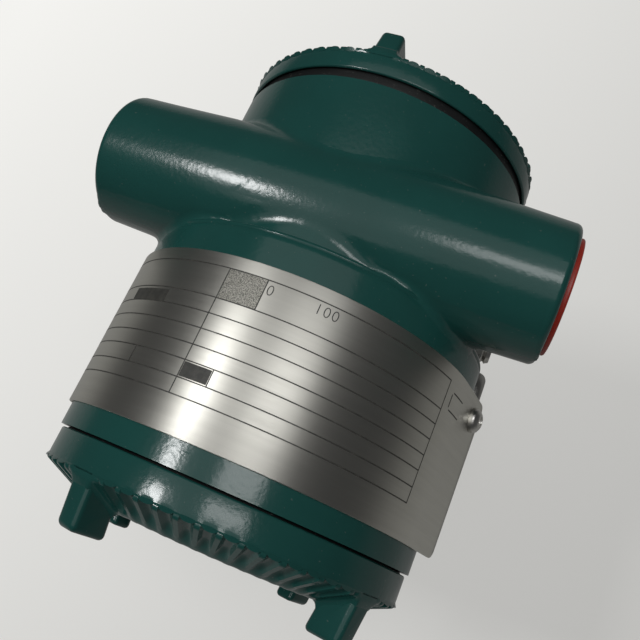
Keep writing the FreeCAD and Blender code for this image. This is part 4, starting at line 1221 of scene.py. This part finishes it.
class TRANSMITTER_OT_fasteners(bpy.types.Operator):
    """Make the plate screws, the flange bolts and nuts and the vent and drain plugs"""
    bl_idname = "transmitter.fasteners"
    bl_label = "Fasteners and plugs"

    def finish_group(self, piece, name, body, node):
        dress(named(tidy(piece, 30.0), name), "stainless", body, [node])

    def execute(self, context):
        screws = joined([pan_head_screw(1.0), pan_head_screw(-1.0)])
        dress(named(tidy(screws, 35.0), "pan_head_screws"), "stainless", "amplifier", ["plate_screws"])
        ends = bolt_places(-FLANGE_OUTER_X)
        bolts = repeated(bolt_form(ends[0]), ends)
        self.finish_group(bolts, "hex_bolts", "detector", "flange_bolts")
        ends = bolt_places(FLANGE_OUTER_X)
        nuts = repeated(hex_bar(BOLT_HEX, ends[0], ALONG_X, NUT_T, True, True, BOLT_R + 0.05), ends)
        self.finish_group(nuts, "hex_nuts", "detector", "flange_nuts")
        seats = [VENT_SEAT + ALONG_X * (side * PLUG_X) for side in (1, -1)]
        vents = repeated(vent_form(seats[0], -DRUM_Y), seats)
        self.finish_group(vents, "vent_bodies", "detector", "vent_plugs")
        for seat, side in zip(seats, ("high", "low")):
            head = hex_bar(7.0, seat - DRUM_Y * 13.0, -DRUM_Y, 5.0, True, True)
            united(head, [threaded_rod(seat - DRUM_Y * 14.0, DRUM_Y, 2.5, 14.5, 3.0, 0.9)])
            self.finish_group(head, "vent_screw_" + side + "_hex", "vent_" + side, "vent_screw_" + side)
        seats = [DRAIN_SEAT + ALONG_X * (side * PLUG_X) for side in (1, -1)]
        drains = repeated(plug_form(seats[0], DRUM_Y, 12.0, 6.0, 8.0), seats)
        self.finish_group(drains, "drain_bodies", "detector", "drain_plugs")
        return {"FINISHED"}


class TRANSMITTER_OT_small_solids(bpy.types.Operator):
    """Finish the solids that stay as they are"""
    bl_idname = "transmitter.small_solids"
    bl_label = "Inner and small parts"

    def execute(self, context):
        dress_solids({
            "black_plastic": ["terminal_block", "amplifier_case", "sensor_connector"],
            "plated_brass": ["terminal_screws", "inner_ground_screw"],
            "board_green": ["amplifier_board"],
            "stainless": ["amplifier_screws", "zero_screw", "outer_ground_terminal", "housing_set_screws",
                          "capsule_body", "diaphragm_high", "diaphragm_low"],
            "cable_grey": ["sensor_cable"],
            "gasket_white": ["gasket_high", "gasket_low"],
            "cast_stainless": ["flange_high", "flange_low"],
        })
        return {"FINISHED"}


# Stage

def floor_finish(colour, glow):
    """A pale matt floor, whose paleness as seen doesn't add light to the object. Its glow, seen by the camera
    and faintly in reflections, is graded as painted light: brighter towards -X and +Y, darker towards +X and
    -Y.
    """
    material, tree, shader = new_material("pale floor")
    place = object_place(tree)
    tone = blended(tree, noise(tree, place, 3.0, 3.0), shade(colour, 0.985), shade(colour, 1.015))
    rays = tree.nodes.new("ShaderNodeLightPath").outputs
    mirrored = math_node(tree, "MULTIPLY", rays["Is Glossy Ray"], 0.16)
    seen = math_node(tree, "MAXIMUM", rays["Is Camera Ray"], mirrored)
    axes = tree.nodes.new("ShaderNodeSeparateXYZ")
    put(tree, axes.inputs[0], place)
    # Painted light and shade on the floor: the glow falls off from -X to +X and rises from -Y to +Y, a
    # painted falloff of the lamps' light that is darker to the right, where the object's shade lies.
    across = ranged(tree, axes.outputs["X"], -0.3, 0.3, 1.26 * glow, 0.54 * glow)
    away = ranged(tree, axes.outputs["Y"], -0.3, 0.3, -0.21 * glow, 0.21 * glow)
    level = math_node(tree, "ADD", across, away)
    feed(tree, shader, Base_Color=tone, Roughness=0.6, Specular_IOR_Level=0.2,
         Emission_Color=(1.0, 0.995, 0.965, 1.0), Emission_Strength=math_node(tree, "MULTIPLY", seen, level))
    bumped(tree, shader, noise(tree, place, 900.0), 0.00003)
    return material


def lamp(name, place, target, size_x, size_y, power):
    """A rectangular lamp that faces the target, with its first side level along X."""
    deselect()
    bpy.ops.object.light_add(type="AREA", location=place)
    light = bpy.context.object
    light.name = name
    light.data.shape = "RECTANGLE"
    light.data.size = size_x
    light.data.size_y = size_y
    light.data.energy = power
    back = (place - target).normalized()
    across = DRUM_Y.cross(back).normalized()
    light.rotation_euler = Matrix((across, back.cross(across), back)).transposed().to_euler()
    return light


class TRANSMITTER_OT_stage(bpy.types.Operator):
    """Set the camera, the lamps and the floor"""
    bl_idname = "transmitter.stage"
    bl_label = "Stage"

    def execute(self, context):
        settings = context.scene.transmitter_stage
        deselect()
        bpy.ops.object.camera_add(location=(0.043621, -0.068721, 0.319070))
        camera = context.object
        camera.rotation_euler = [math.radians(a) for a in (21.1738, 6.2116, 22.8809)]
        camera.data.lens = 38.252
        camera.data.sensor_width = 36.0
        camera.data.clip_start = 0.01
        context.scene.camera = camera

        bpy.ops.mesh.primitive_plane_add(size=6.0, location=(0.0, 0.0, 0.0))
        floor = named(context.object, "floor")
        floor.data.materials.append(floor_finish(tuple(settings.floor), settings.floor_glow))

        middle = Vector((0.0, -0.02, 0.17))
        lamp("window_lamp", middle + Vector((-0.53, -0.08, 1.0)), middle, 0.17, 0.22, settings.window_power)
        lamp("ceiling_lamp", middle + Vector((0.24, 0.03, 1.0)), middle, 0.44, 0.22, settings.ceiling_power)
        lamp("overhead_lamp", middle + Vector((-0.1, 0.0, 1.6)), middle, 2.0, 2.0, settings.overhead_power)

        world = bpy.data.worlds.new("room")
        world.use_nodes = True
        background = world.node_tree.nodes["Background"]
        background.inputs["Color"].default_value = (0.97, 0.98, 1.0, 1.0)
        background.inputs["Strength"].default_value = settings.room
        context.scene.world = world
        context.scene.view_settings.view_transform = "Standard"
        return {"FINISHED"}


PIECES = (
    TRANSMITTER_OT_housing,
    TRANSMITTER_OT_seams,
    TRANSMITTER_OT_covers,
    TRANSMITTER_OT_seals,
    TRANSMITTER_OT_name_plate,
    TRANSMITTER_OT_conduit_plug,
    TRANSMITTER_OT_fasteners,
    TRANSMITTER_OT_small_solids,
    TRANSMITTER_OT_stage,
)


class TRANSMITTER_PT_pieces(bpy.types.Panel):
    """The pieces of the transmitter and their settings"""
    bl_idname = "TRANSMITTER_PT_pieces"
    bl_label = "Pressure transmitter"
    bl_space_type = "VIEW_3D"
    bl_region_type = "UI"
    bl_category = "Transmitter"

    def draw(self, context):
        scene = context.scene
        for settings in (scene.transmitter_paint, scene.transmitter_covers, scene.transmitter_stage):
            box = self.layout.box()
            for key in settings.__annotations__:
                box.prop(settings, key)
        for piece in PIECES:
            self.layout.operator(piece.bl_idname)


CLASSES = (PaintSettings, CoverSettings, StageSettings) + PIECES + (TRANSMITTER_PT_pieces,)


def register():
    for cls in CLASSES:
        bpy.utils.register_class(cls)
    bpy.types.Scene.transmitter_paint = bpy.props.PointerProperty(type=PaintSettings)
    bpy.types.Scene.transmitter_covers = bpy.props.PointerProperty(type=CoverSettings)
    bpy.types.Scene.transmitter_stage = bpy.props.PointerProperty(type=StageSettings)


def unregister():
    del bpy.types.Scene.transmitter_stage
    del bpy.types.Scene.transmitter_covers
    del bpy.types.Scene.transmitter_paint
    for cls in reversed(CLASSES):
        bpy.utils.unregister_class(cls)


def main():
    register()
    for piece in PIECES:
        group, name = piece.bl_idname.split(".")
        getattr(getattr(bpy.ops, group), name)()


if __name__ == "__main__":
    main()
